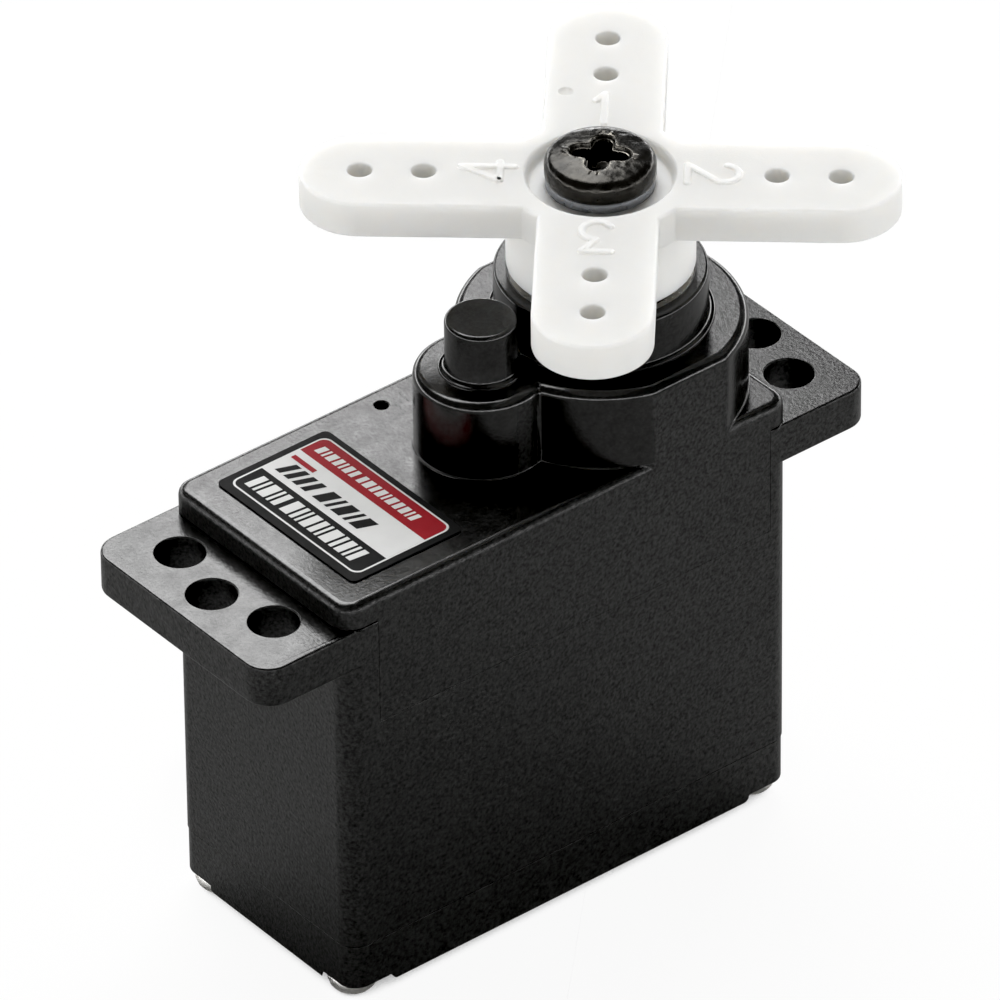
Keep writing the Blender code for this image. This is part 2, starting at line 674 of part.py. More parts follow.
def make_rotor():
    """Everything that turns inside the motor, and the pinion on its shaft."""
    ends = [(MOTOR_SHAFT_RADIUS, 2.95), (MOTOR_SHAFT_RADIUS, 17.30)]
    shaft = turned_solid("motor_shaft", MOTOR_AXIS, ends, 16)
    finish(shaft, "polished_steel", MOTOR_AXIS)
    teeth = gear_outline(MOTOR_AXIS, MOTOR_TEETH, FIRST_MODULE, TO_RIGHT)
    pressed = (
        ("motor_pinion", teeth, 15.50, 17.10, "brass"),
        ("commutator", circle(0.92, 18, MOTOR_AXIS), 4.22, 5.15, "copper"),
        ("armature_core", armature_outline(), 6.20, 12.20, "can_steel"),
    )
    for name, outline, low, top, slot in pressed:
        piece = prism(name, outline, low, top)
        cut(piece, prism("bore", circle(MOTOR_SHAFT_RADIUS + 0.02, 16, MOTOR_AXIS), 0.0, 30.0))
        finish(piece, slot, MOTOR_AXIS)
    for i in range(3):
        finish(make_winding(f"armature_winding_{i + 1}", i), "copper", MOTOR_AXIS)


def armature_outline():
    """Three poles, each a stem that ends in a wide curved shoe."""
    points = []
    for i in range(3):
        stem = 0.60
        shoe = math.radians(46)
        outer = arc((0, 0), 3.50, -shoe, shoe, 9)
        foot = math.sqrt(2.95 ** 2 - stem ** 2)
        hub = math.sqrt(1.25 ** 2 - stem ** 2)
        inner_edge = (2.95 * math.cos(shoe), 2.95 * math.sin(shoe))
        pole = [(hub, -stem), (foot, -stem), (inner_edge[0], -inner_edge[1])] + outer
        pole += [inner_edge, (foot, stem), (hub, stem)]
        points += turned(pole, i * 2 * math.pi / 3)
    return moved(points, MOTOR_AXIS)


def make_winding(name, index):
    """A coil round one pole's stem."""
    coil = box(name, 1.40, 2.46, -1.25, 1.25, 5.55, 12.85)
    cut(coil, box("stem_room", 1.0, 3.2, -0.63, 0.63, 6.17, 12.23))
    coil.data.transform(Matrix.Rotation(index * 2 * math.pi / 3, 4, "Z"))
    coil.data.transform(Matrix.Translation((*MOTOR_AXIS, 0.0)))
    return coil


# ----------------------------------------------------------- potentiometer


def make_potentiometer():
    """The sensor under the output shaft: housing with its bush, track, wiper and shaft."""
    bush = POT_SHAFT_RADIUS + 0.03
    profile = [
        (1.88, 15.38), (1.88, 14.50), (3.90, 14.50), (3.90, 11.60),
        (3.60, 11.60), (3.60, 14.20), (bush, 14.20), (bush, 15.38),
    ]
    finish(turned_ring("pot_housing", OUTPUT_AXIS, profile, 24), "can_steel")
    section = [(3.57, 12.10), (3.57, 11.65), (1.10, 11.65), (1.10, 12.10)]
    track = turned_ring("pot_track", OUTPUT_AXIS, section, 24)
    finish(track, "phenolic")
    wiper = prism("pot_wiper", circle(1.50, 24), 12.13, 12.33)
    add(wiper, box("arm", -3.30, -1.00, -0.45, 0.45, 12.13, 12.33))
    cut(wiper, prism("shaft_hole", d_outline(POT_SHAFT_RADIUS + 0.02, 0.62), 12.0, 12.5))
    finish(wiper, "brass", OUTPUT_AXIS)
    finish(prism("pot_shaft", d_outline(POT_SHAFT_RADIUS, 0.60), 11.80, 21.80), "brass", OUTPUT_AXIS)


# ------------------------------------------------------------- electronics


def make_board():
    finish(box("circuit_board", -15.50, 2.80, -4.25, 4.25, 1.50, 2.10), "circuit_board")
    finish(box("controller_chip", -13.60, -8.90, -2.60, 2.10, 0.90, 1.47), "chip_epoxy")
    finish(box("driver_chip", -6.60, -2.60, -2.20, 1.80, 0.90, 1.47), "chip_epoxy")
    finish(box("capacitor", -5.60, -2.40, -3.60, -2.00, 2.13, 3.70), "tantalum_case")
    finish(box("crystal", -6.80, -6.10, 1.00, 3.60, 2.13, 2.90), "can_steel")


def smooth_path(corners, radius=1.0, count=4):
    """A path through corners, with each corner replaced by an arc-like bend."""
    points = [Vector(c) for c in corners]
    out = [points[0]]
    for before, at, after in zip(points, points[1:], points[2:]):
        back, on = (before - at), (after - at)
        cutoff = min(radius, back.length * 0.45, on.length * 0.45)
        a, b = at + back.normalized() * cutoff, at + on.normalized() * cutoff
        for i in range(count + 1):
            t = i / count
            out.append(a * (1 - t) ** 2 + at * 2 * t * (1 - t) + b * t ** 2)
    out.append(points[-1])
    return [tuple(p) for p in out]


def make_inner_wires():
    """Thin wires from the board up to the potentiometer."""
    for name, x, y, slot in (
        ("pot_wire_left", 1.6, -1.6, "wire_yellow"),
        ("pot_wire_middle", -2.2, 0.0, "wire_red"),
        ("pot_wire_right", 1.6, 1.6, "wire_black"),
    ):
        corners = [(x, y, 2.13), (x, y, 5.0), (x * 1.25, y * 0.9, 8.5), (x * 1.25, y * 0.9, 11.60)]
        finish(tube(name, smooth_path(corners), 0.22, 0), slot)


def lead_corners(start, level, height, fan):
    """The run of one wire, from the board out of the case and folded behind it.

    start is where along the board it is soldered, level is its height where it leaves the case,
    height is where it rests behind the case, and fan is how far it spreads to reach its place
    in the plug.
    """
    return [
        (start, 0.0, COVER_TOP - 0.42), (start, 0.0, level), (8.1, 0.0, level),
        (8.3, 4.0, (level + height) / 2), (7.9, 8.4, height), (4.0, 8.4, height),
        (-9.6, 8.4, height), (-10.9, 9.3, height), (-9.6, 10.2, height),
        (5.6, 10.2, height), (6.9, 11.1, height), (5.6, 12.0, height),
        (5.0, 12.0, height), (2.5, 12.0, height + fan), (1.2, 12.0, height + fan),
    ]


def make_lead():
    """Strain relief, three wires and the plug they end in."""
    relief = prism("strain_relief", rounded_rect(4.05, 4.59, -1.40, 1.40, 0.20), 2.70, 6.30)
    neck = prism("neck", rectangle(4.4, 5.7, -0.72, 0.72), 2.60, 5.76)
    flange = prism("flange", rounded_rect(5.47, 6.20, -1.25, 1.25, 0.25), 2.20, 6.20)
    tail = prism("tail", rectangle(6.0, 6.9, -0.70, 0.70), 2.65, 5.72)
    add(relief, neck, flange, tail)
    levels = [3.25, 3.25 + WIRE_PITCH, 3.25 + 2 * WIRE_PITCH]
    passages = [
        tube("passage", [(3.0, 0.0, level), (9.0, 0.0, level)], WIRE_RADIUS + 0.05, 2)
        for level in levels
    ]
    cut(relief, *passages)
    finish(relief, "grommet_rubber")

    lowest = 0.16
    plug_middle = 3.55
    names = ("lead_wire_ground", "lead_wire_power", "lead_wire_signal")
    for i, (name, slot) in enumerate(zip(names, ("wire_black", "wire_red", "wire_yellow"))):
        height = lowest + i * WIRE_PITCH
        target = plug_middle + (i - 1) * PLUG_PITCH
        corners = lead_corners(1.6 - 1.2 * i, levels[i], height, target - height)
        finish(tube(name, smooth_path(corners, 1.2, 2), WIRE_RADIUS), slot)
    make_plug(plug_middle)


def make_plug(middle):
    """The three-way socket housing, standing on its narrow side."""
    outline = rectangle(-11.8, 1.8, 12.0 - 1.27, 12.0 + 1.27)
    body = prism("plug_housing", outline, middle - 3.80, middle + 3.80)
    for i in (-1, 0, 1):
        z = middle + i * PLUG_PITCH
        cut(body, box("cell", -11.2, 2.4, 11.45, 12.55, z - 0.55, z + 0.55))
        cut(body, box("mouth", -12.6, -10.6, 11.62, 12.38, z - 0.38, z + 0.38))
    finish(body, "grommet_rubber")
    for name, i in (("plug_contact_ground", -1), ("plug_contact_power", 0), ("plug_contact_signal", 1)):
        z = middle + i * PLUG_PITCH
        contact = box(name, -10.9, 0.2, 11.52, 12.48, z - 0.48, z + 0.48)
        cut(contact, box("pin_room", -11.6, -0.2, 11.64, 12.36, z - 0.36, z + 0.36))
        finish(contact, "brass")


# ---------------------------------------------------------------- assembly


def clear_scene():
    for piece in list(bpy.data.objects):
        bpy.data.objects.remove(piece)


def main():
    clear_scene()
    make_bottom_cover()
    make_middle_case()
    make_top_case()
    ends = ("left_front", "left_rear", "right_front", "right_rear")
    for end, place in zip(ends, screw_places()):
        make_case_screw(f"case_screw_{end}", place)
    make_label()
    make_gears()
    make_bearing()
    make_horn()
    make_horn_screw()
    make_motor_can()
    make_motor_magnets()
    make_motor_end()
    make_rotor()
    make_potentiometer()
    make_board()
    make_inner_wires()
    make_lead()


main()
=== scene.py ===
"""Looks of the micro servo motor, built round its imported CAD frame.

Outside pieces are rebuilt finely here and stand for their CAD nodes; pieces inside the case keep
their CAD shapes. Shapes are laid out in millimetres in the frame's own axes, then turned into metres.
"""

import json
import math

import bmesh
import bpy
from mathutils import Matrix, Vector


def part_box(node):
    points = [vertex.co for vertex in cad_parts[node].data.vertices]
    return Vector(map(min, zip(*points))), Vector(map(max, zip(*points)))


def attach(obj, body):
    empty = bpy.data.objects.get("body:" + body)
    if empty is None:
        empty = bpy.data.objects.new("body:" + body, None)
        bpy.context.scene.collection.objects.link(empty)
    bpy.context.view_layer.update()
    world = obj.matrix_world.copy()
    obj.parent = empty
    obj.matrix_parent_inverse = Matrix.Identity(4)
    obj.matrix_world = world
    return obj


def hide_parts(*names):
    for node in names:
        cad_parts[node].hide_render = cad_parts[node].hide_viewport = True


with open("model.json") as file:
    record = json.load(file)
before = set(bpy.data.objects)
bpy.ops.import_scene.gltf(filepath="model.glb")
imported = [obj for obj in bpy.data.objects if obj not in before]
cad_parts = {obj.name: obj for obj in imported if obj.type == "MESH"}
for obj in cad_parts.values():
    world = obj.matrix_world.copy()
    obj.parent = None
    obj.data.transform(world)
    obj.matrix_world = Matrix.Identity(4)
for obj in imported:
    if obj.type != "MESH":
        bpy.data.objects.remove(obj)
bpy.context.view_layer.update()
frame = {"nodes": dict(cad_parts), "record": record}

MM = 0.001


def extent(node):
    """A CAD node's box in millimetres: (x0, y0, z0), (x1, y1, z1)."""
    low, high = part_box(node)
    return low / MM, high / MM


# Case, in millimetres
COVER_BOX, MIDDLE_BOX, TOP_BOX = extent("bottom_cover"), extent("middle_case"), extent("top_case")
CASE_X0, CASE_X1 = COVER_BOX[0].x, COVER_BOX[1].x
CASE_HALF = COVER_BOX[1].y
CASE_CORNER = 0.90
INNER_HALF = 5.00
COVER_TOP = 2.55
COVER_FLOOR = 0.80
DECK_LOW, DECK_TOP = 14.60, 15.40
EAR_X0, EAR_X1 = MIDDLE_BOX[0].x, MIDDLE_BOX[1].x
EAR_LOW, EAR_TOP = 16.90, MIDDLE_BOX[1].z
EAR_CORNER = 1.20
EAR_HOLE_RADIUS = 1.07
EAR_HOLES = [
    (-19.74, 3.10), (-20.52, 0.0), (-19.74, -3.10),
    (7.53, 3.10), (8.31, 0.0), (7.53, -3.10),
]
SKIRT_X0, SKIRT_X1, SKIRT_LOW = -16.45, 4.28, 13.70
ROOF_TOP = 20.02
TOWER_RADIUS, TOWER_TOP = 6.10, 23.76
BOSS_RADIUS = 2.85
PIN_AXIS = (-6.35, 0.0)
PIN_CAP_RADIUS, PIN_CAP_TOP = 1.52, TOP_BOX[1].z
COLLAR_RADIUS, COLLAR_TOP = 4.46, 26.00
EDGE_ROUND = 0.40
GAP, SEAM = 0.02, 0.012
SCREW_X, SCREW_Y = (-17.10, 4.35), 4.45
SCREW_HOLE_RADIUS = 0.66
POCKET_ROOF = 0.40
COVER_INSET, COVER_SEAM = 0.04, 0.065
LABEL_BOX = (-16.70, -10.90, -4.45, 4.60)

# Horn and its screw
HORN_BOX, SCREW_BOX = extent("horn"), extent("horn_screw")
HORN_TURN = math.radians(-41.1)
HORN_LOW, ARM_LOW, HORN_TOP = HORN_BOX[0].z, 28.95, HORN_BOX[1].z
HUB_RADIUS = 3.98
ARM_HALF, ARM_TIP = 2.50, 12.38
HORN_HOLES = (7.25, 9.88)
DISH_RADIUS, DISH_FLOOR = 3.02, 30.10
SPLINE_TEETH, SPLINE_TIP, SPLINE_ROOT = 24, 2.37, 2.17
STROKE_HALF, DIGIT_REACH = 0.15, 4.62

# Lead
WIRE_RADIUS, WIRE_PITCH, LOWEST_WIRE, RESTING_WIRE = 0.42, 0.92, 3.25, 0.16
WIRE_BEND = 1.4
PLUG_PITCH, PLUG_MIDDLE = 2.54, 3.55
PLUG_X0, PLUG_X1, PLUG_Y0, PLUG_Y1, PLUG_HALF_HEIGHT = -11.8, 1.8, 10.73, 13.27, 3.80

# Floor: its brightness to the eye, its brightness in reflections, its own glow, and the shares of
# open sky at which that glow begins and is full
SCREW_FOOT = extent("case_screw_left_front")[0].z
FLOOR_GREY, FLOOR_IN_REFLECTIONS, FLOOR_GLOW = 0.84, 0.47, 0.94
GLOW_BEGINS, GLOW_FULL = 0.04, 0.28

# Light: the ring's top edge and fade are shares of a half sky; softboxes aim at a point in metres
RING_TOP, RING_FADE, RING_LIGHT, ROOM_LIGHT = 0.08, 0.10, 6.8, 0.08
BLACK_PIECES = ("cover_shell", "main_shell", "gear_cover", "screw_head")
AIM = (-0.006, 0.0, 0.014)

# Camera, in degrees and millimetres
VIEW_AZIMUTH, VIEW_ELEVATION, VIEW_ROLL = -38.558, 35.925, -0.654
LENS, SENSOR = 501.8, 36.0
EYE = (-296.587, -365.243, 354.977)

# Edges sharper than this many degrees are rounded; the widest rounding is a multiple of a piece's own
SHARP = 32.0
WIDEST_SHARE = 4.0
RIM_MERGE = 0.012


# ---------------------------------------------------------------- outlines


def circle(radius, count, centre=(0.0, 0.0)):
    step = 2 * math.pi / count
    return [
        (centre[0] + radius * math.cos((i + 0.5) * step), centre[1] + radius * math.sin((i + 0.5) * step))
        for i in range(count)
    ]


def arc(centre, radius, start, end, count):
    turn = (end - start) / (count - 1)
    return [
        (centre[0] + radius * math.cos(start + i * turn), centre[1] + radius * math.sin(start + i * turn))
        for i in range(count)
    ]


def rounded_rect(x0, x1, y0, y1, r, count=10):
    quarter = math.pi / 2
    return (
        arc((x1 - r, y0 + r), r, -quarter, 0, count)
        + arc((x1 - r, y1 - r), r, 0, quarter, count)
        + arc((x0 + r, y1 - r), r, quarter, 2 * quarter, count)
        + arc((x0 + r, y0 + r), r, 2 * quarter, 3 * quarter, count)
    )


def flatted_circle(radius, half):
    """A circle cut off by two flats at y = +half and y = -half."""
    swing = math.asin(half / radius)
    right = arc((0, 0), radius, -swing, swing, 49)
    return right + [(-x, -y) for x, y in right]


def turned(outline, angle):
    c, s = math.cos(angle), math.sin(angle)
    return [(x * c - y * s, x * s + y * c) for x, y in outline]


# ------------------------------------------------------------------ solids


def to_object(name, bm):
    bmesh.ops.recalc_face_normals(bm, faces=bm.faces)
    mesh = bpy.data.meshes.new(name)
    bm.to_mesh(mesh)
    bm.free()
    piece = bpy.data.objects.new(name, mesh)
    bpy.context.scene.collection.objects.link(piece)
    return piece


def extruded(outline, z0, z1):
    bm = bmesh.new()
    base = bm.faces.new([bm.verts.new((x, y, z0)) for x, y in outline])
    grown = bmesh.ops.extrude_face_region(bm, geom=[base])
    raised = [v for v in grown["geom"] if isinstance(v, bmesh.types.BMVert)]
    bmesh.ops.translate(bm, vec=(0.0, 0.0, z1 - z0), verts=raised)
    return bm


def prism(name, outline, z0, z1, top=0.0, bottom=0.0, segments=5):
    """An upright block over an outline, with its top or bottom rim rounded."""
    bm = extruded(outline, z0, z1)
    for level, radius in ((z1, top), (z0, bottom)):
        if radius:
            rim = [e for e in bm.edges if all(abs(v.co.z - level) < 1e-5 for v in e.verts)]
            bmesh.ops.bevel(bm, geom=rim, offset=radius, segments=segments, profile=0.5, affect="EDGES")
    # Where a rim is as wide as its corner's own radius it crosses itself by microns; this closes it.
    bmesh.ops.remove_doubles(bm, verts=bm.verts, dist=RIM_MERGE)
    return to_object(name, bm)


def box(name, x0, x1, y0, y1, z0, z1):
    bm = bmesh.new()
    bmesh.ops.create_cube(bm, size=1.0)
    bmesh.ops.scale(bm, vec=(x1 - x0, y1 - y0, z1 - z0), verts=bm.verts)
    bmesh.ops.translate(bm, vec=((x0 + x1) / 2, (y0 + y1) / 2, (z0 + z1) / 2), verts=bm.verts)
    return to_object(name, bm)


def turned_solid(name, centre, profile, count):
    """A turned body, from the (radius, z) points of its side, with flat ends."""
    bm = bmesh.new()
    verts = [bm.verts.new((radius, 0.0, z)) for radius, z in profile]
    edges = [bm.edges.new(pair) for pair in zip(verts, verts[1:])]
    bmesh.ops.rotate(bm, cent=(0, 0, 0), matrix=Matrix.Rotation(math.pi / count, 3, "Z"), verts=verts)
    bmesh.ops.spin(
        bm, geom=verts + edges, cent=(0, 0, 0), axis=(0, 0, 1),
        angle=2 * math.pi, steps=count, use_merge=True,
    )
    bmesh.ops.holes_fill(bm, edges=[e for e in bm.edges if e.is_boundary], sides=count)
    bmesh.ops.translate(bm, vec=(centre[0], centre[1], 0.0), verts=bm.verts)
    return to_object(name, bm)


def tapered(name, outline, z0, z1, low_scale):
    """A block over an outline that narrows towards its foot."""
    bm = extruded(outline, z0, z1)
    foot = [v for v in bm.verts if abs(v.co.z - z0) < 1e-5]
    bmesh.ops.scale(bm, vec=(low_scale, low_scale, 1.0), verts=foot)
    return to_object(name, bm)


def tube(name, path, radius):
    """A round bar along a path of (x, y, z) points."""
    curve = bpy.data.curves.new(name, "CURVE")
    curve.dimensions = "3D"
    curve.bevel_depth = radius
    curve.bevel_resolution = 5
    curve.use_fill_caps = True
    line = curve.splines.new("POLY")
    line.points.add(len(path) - 1)
    for point, place in zip(line.points, path):
        point.co = (*place, 1.0)
    guide = bpy.data.objects.new(name, curve)
    bpy.context.scene.collection.objects.link(guide)
    shape = bpy.data.meshes.new_from_object(guide.evaluated_get(bpy.context.evaluated_depsgraph_get()))
    bpy.data.objects.remove(guide)
    bm = bmesh.new()
    bm.from_mesh(shape)
    bmesh.ops.remove_doubles(bm, verts=bm.verts, dist=0.001)
    return to_object(name, bm)


def combine(piece, others, operation):
    """Unites other solids with a piece, or cuts them out of it, all at once, and removes them."""
    tools = bpy.data.collections.new("tools")
    for other in others:
        tools.objects.link(other)
    change = piece.modifiers.new("change", "BOOLEAN")
    change.solver = "EXACT"
    change.operation = operation
    change.operand_type = "COLLECTION"
    change.collection = tools
    result = bpy.data.meshes.new_from_object(piece.evaluated_get(bpy.context.evaluated_depsgraph_get()))
    piece.modifiers.clear()
    piece.data = result
    for other in others:
        bpy.data.objects.remove(other)
    bpy.data.collections.remove(tools)
    return piece


def add(piece, *others):
    return combine(piece, others, "UNION")


def cut(piece, *others):
    return combine(piece, others, "DIFFERENCE")


def joined(piece, *others):
    """Puts other meshes into a piece's mesh as they are."""
    bm = bmesh.new()
    bm.from_mesh(piece.data)
    for other in others:
        bm.from_mesh(other.data)
        bpy.data.objects.remove(other)
    bm.to_mesh(piece.data)
    bm.free()
    return piece


def settle(piece, body, slot, nodes, rounding=0.0, segments=2, share=None):
    """Turns a piece into metres, rounds its sharp edges, gives it its look and puts it on its body.

    share(middle) may widen or narrow the rounding of an edge; it is 1 for a plain edge.
    """
    bm = bmesh.new()
    bm.from_mesh(piece.data)
    bmesh.ops.remove_doubles(bm, verts=bm.verts, dist=0.002)
    bmesh.ops.dissolve_degenerate(bm, edges=bm.edges, dist=0.001)
    if rounding:
        weights = bm.edges.layers.float.new("bevel_weight_edge")
        for edge in bm.edges:
            if len(edge.link_faces) == 2 and edge.calc_face_angle(0.0) > math.radians(SHARP):
                middle = (edge.verts[0].co + edge.verts[1].co) / 2
                edge[weights] = (share(middle) if share else 1.0) / WIDEST_SHARE
    bmesh.ops.scale(bm, vec=(MM, MM, MM), verts=bm.verts)
    bm.to_mesh(piece.data)
    bm.free()
    if not piece.data.materials:
        piece.data.materials.append(LOOKS[slot])
    piece.data.shade_smooth()
    if rounding:
        edge = piece.modifiers.new("rounding", "BEVEL")
        edge.width = rounding * WIDEST_SHARE * MM
        edge.segments = segments
        edge.limit_method = "WEIGHT"
        edge.use_clamp_overlap = False
        edge.miter_outer = "MITER_ARC"
    piece.data.set_sharp_from_angle(angle=math.radians(50 if rounding else 35))
    weighted = piece.modifiers.new("normals", "WEIGHTED_NORMAL")
    weighted.keep_sharp = True
    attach(piece, body)
    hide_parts(*nodes)


# ------------------------------------------------------------ look helpers


def new_node(tree, kind, inputs=None, **settings):
    """A node with its settings made and its inputs set, or linked where a socket is given."""
    made = tree.nodes.new(kind)
    for key, value in settings.items():
        setattr(made, key, value)
    for key, value in (inputs or {}).items():
        if isinstance(value, bpy.types.NodeSocket):
            tree.links.new(value, made.inputs[key])
        else:
            made.inputs[key].default_value = value
    return made


class Look:
    """A node material under construction; wires up nodes with little writing."""

    def __init__(self, name):
        self.material = bpy.data.materials.new(name)
        self.material.use_nodes = True
        self.tree = self.material.node_tree
        self.tree.nodes.clear()
        place = self.node("ShaderNodeTexCoord").outputs["Object"]
        self.mm = self.vector("MULTIPLY", place, (1000.0, 1000.0, 1000.0))

    def node(self, kind, inputs=None, **settings):
        return new_node(self.tree, kind, inputs, **settings)

    def vector(self, operation, a, b):
        return self.node("ShaderNodeVectorMath", {0: a, 1: b}, operation=operation).outputs[0]

    def math(self, operation, a, b=0.0):
        return self.node("ShaderNodeMath", {0: a, 1: b}, operation=operation).outputs[0]

    def noise(self, scale, detail=3.0, roughness=0.5, stretch=(1.0, 1.0, 1.0), distortion=0.0):
        where = self.vector("MULTIPLY", self.mm, stretch) if stretch != (1.0, 1.0, 1.0) else self.mm
        settings = {
            "Vector": where, "Scale": scale, "Detail": detail,
            "Roughness": roughness, "Distortion": distortion,
        }
        return self.node("ShaderNodeTexNoise", settings).outputs["Fac"]

    def span(self, value, low, high, out_low=0.0, out_high=1.0):
        settings = {
            "Value": value, "From Min": low, "From Max": high, "To Min": out_low, "To Max": out_high,
        }
        return self.node("ShaderNodeMapRange", settings, clamp=True).outputs["Result"]

    def mix(self, share, a, b):
        """A blend of two colours."""
        a, b = [(*colour, 1.0) if isinstance(colour, tuple) else colour for colour in (a, b)]
        return self.node("ShaderNodeMix", {0: share, 6: a, 7: b}, data_type="RGBA").outputs[2]

    def blend(self, share, a, b):
        """A blend of two numbers."""
        return self.math("ADD", a, self.math("MULTIPLY", share, self.math("SUBTRACT", b, a)))

    def shade(self, colour, low, high, fac):
        """A colour made darker or lighter by a noise."""
        factor = self.span(fac, 0.3, 0.7, low, high)
        return self.node("ShaderNodeVectorMath", {0: colour, "Scale": factor}, operation="SCALE").outputs[0]

    def edges(self, radius=0.15, low=0.02, high=0.25):
        """One on convex and concave edges, nought on flats."""
        soft = self.node("ShaderNodeBevel", {"Radius": radius * MM}, samples=6).outputs[0]
        plain = self.node("ShaderNodeNewGeometry").outputs["Normal"]
        alike = self.node("ShaderNodeVectorMath", {0: soft, 1: plain}, operation="DOT_PRODUCT")
        return self.span(self.math("SUBTRACT", 1.0, alike.outputs["Value"]), low, high)

    def bump(self, height, depth, normal=None):
        """A bump whose full height is depth millimetres."""
        inputs = {"Height": height, "Distance": depth * MM, "Strength": 1.0}
        if normal is not None:
            inputs["Normal"] = normal
        return self.node("ShaderNodeBump", inputs).outputs["Normal"]

    def facing(self, axis):
        """How far the surface faces along an axis, from minus one to one."""
        normal = self.node("ShaderNodeNewGeometry").outputs["Normal"]
        return self.node("ShaderNodeSeparateXYZ", {0: normal}).outputs[axis]

    def place(self, axis):
        return self.node("ShaderNodeSeparateXYZ", {0: self.mm}).outputs[axis]

    def finish(self, **inputs):
        """The surface itself, from Principled inputs; an underscore in a name stands for a space."""
        named = {key.replace("_", " "): value for key, value in inputs.items()}
        surface = self.node("ShaderNodeBsdfPrincipled", named)
        self.node("ShaderNodeOutputMaterial", {"Surface": surface.outputs[0]})
        return self.material


# ------------------------------------------------------------------- looks


def black_plastic():
    """Spark-grained walls, satin tops, and glossier walls round the gear tower; edges a little rubbed."""
    look = Look("black_plastic")
    up = look.span(look.facing("Z"), 0.6, 0.9)
    broad = look.noise(0.35, 3)
    fine = look.noise(6.0, 3, 0.65)
    colour = look.shade((0.0033, 0.0033, 0.0029), 0.80, 1.25, broad)
    colour = look.shade(colour, 0.55, 1.60, fine)
    scuffs = look.math("MULTIPLY", look.edges(0.16), look.span(look.noise(1.6, 4, 0.65), 0.42, 0.66))
    colour = look.mix(look.math("MULTIPLY", scuffs, 0.30), colour, (0.060, 0.060, 0.056))
    curved = look.span(look.math("ABSOLUTE", look.facing("Y")), 0.985, 0.998, 1.0, 0.0)
    above = look.span(look.place("Z"), ROOF_TOP - 0.02, ROOF_TOP + 0.04)
    glossy = look.math("MULTIPLY", curved, above)
    rough = look.blend(up, look.blend(glossy, 0.34, 0.15), 0.18)
    rough = look.math("ADD", rough, look.span(look.noise(1.1, 4, 0.6), 0.3, 0.7, -0.02, 0.05))
    rough = look.math("ADD", rough, look.span(fine, 0.3, 0.7, -0.03, 0.04))
    flat = look.math("MAXIMUM", up, glossy)
    depth = look.blend(flat, 1.0, 0.24)
    normal = look.bump(look.math("MULTIPLY", look.noise(6.5, 3, 0.65), depth), 0.026)
    waves = look.bump(look.noise(0.28, 2), 0.008, normal)
    mottle = look.span(fine, 0.33, 0.67, 0.22, 0.70)
    clouds = look.span(look.noise(1.5, 4, 0.7), 0.3, 0.7, 0.84, 1.16)
    clouds = look.math("MULTIPLY", clouds, look.span(fine, 0.3, 0.7, 0.84, 1.16))
    level = look.blend(flat, mottle, look.math("MULTIPLY", clouds, 0.50))
    return look.finish(Base_Color=colour, Roughness=rough, Normal=waves, Specular_IOR_Level=level)


def white_nylon():
    """Natural nylon: light goes well into it, and the moulded skin is faintly uneven."""
    look = Look("white_nylon")
    broad = look.noise(0.4, 3)
    colour = look.shade((0.760, 0.757, 0.740), 0.98, 1.01, broad)
    rough = look.span(look.noise(2.2, 4, 0.6), 0.3, 0.7, 0.46, 0.58)
    grain = look.bump(look.noise(10.0, 3, 0.6), 0.004)
    flow = look.bump(look.noise(0.5, 2, 0.5, distortion=0.6), 0.020, grain)
    return look.finish(
        Base_Color=colour, Roughness=rough, Normal=flow, Subsurface_Weight=1.0,
        Subsurface_Radius=(1.0, 0.96, 0.90), Subsurface_Scale=1.3 * MM, Specular_IOR_Level=0.25,
    )


def plastic(name, colour, rough, tint=0.08, grain=8.0, depth=0.004, wear=None, shine=0.5):
    """A moulded or coated plastic with a fine grain."""
    look = Look(name)
    shade = look.shade(colour, 1 - tint, 1 + tint, look.noise(0.7, 4, 0.6))
    if wear:
        rubbed = look.math("MULTIPLY", look.edges(0.12), look.span(look.noise(2.5, 4), 0.4, 0.65))
        shade = look.mix(look.math("MULTIPLY", rubbed, 0.4), shade, wear)
    roughness = look.span(look.noise(1.8, 4, 0.6), 0.3, 0.7, rough - 0.06, rough + 0.08)
    normal = look.bump(look.noise(grain, 3, 0.6), depth)
    return look.finish(Base_Color=shade, Roughness=roughness, Normal=normal, Specular_IOR_Level=shine)


def metal(name, colour, rough, stretch=(1.0, 1.0, 1.0), scale=5.0, dull=None):
    """A bare metal with tool marks along one way, and duller patches."""
    look = Look(name)
    marks = look.noise(scale, 3, 0.6, stretch)
    patches = look.noise(0.9, 4, 0.6)
    shade = look.shade(colour, 0.86, 1.08, patches)
    if dull:
        shade = look.mix(look.span(patches, 0.52, 0.72, 0.0, 0.6), shade, dull)
    roughness = look.span(marks, 0.3, 0.7, rough - 0.06, rough + 0.10)
    roughness = look.math("ADD", roughness, look.span(patches, 0.4, 0.7, 0.0, 0.10))
    normal = look.bump(marks, 0.002)
    return look.finish(Base_Color=shade, Roughness=roughness, Metallic=1.0, Normal=normal)


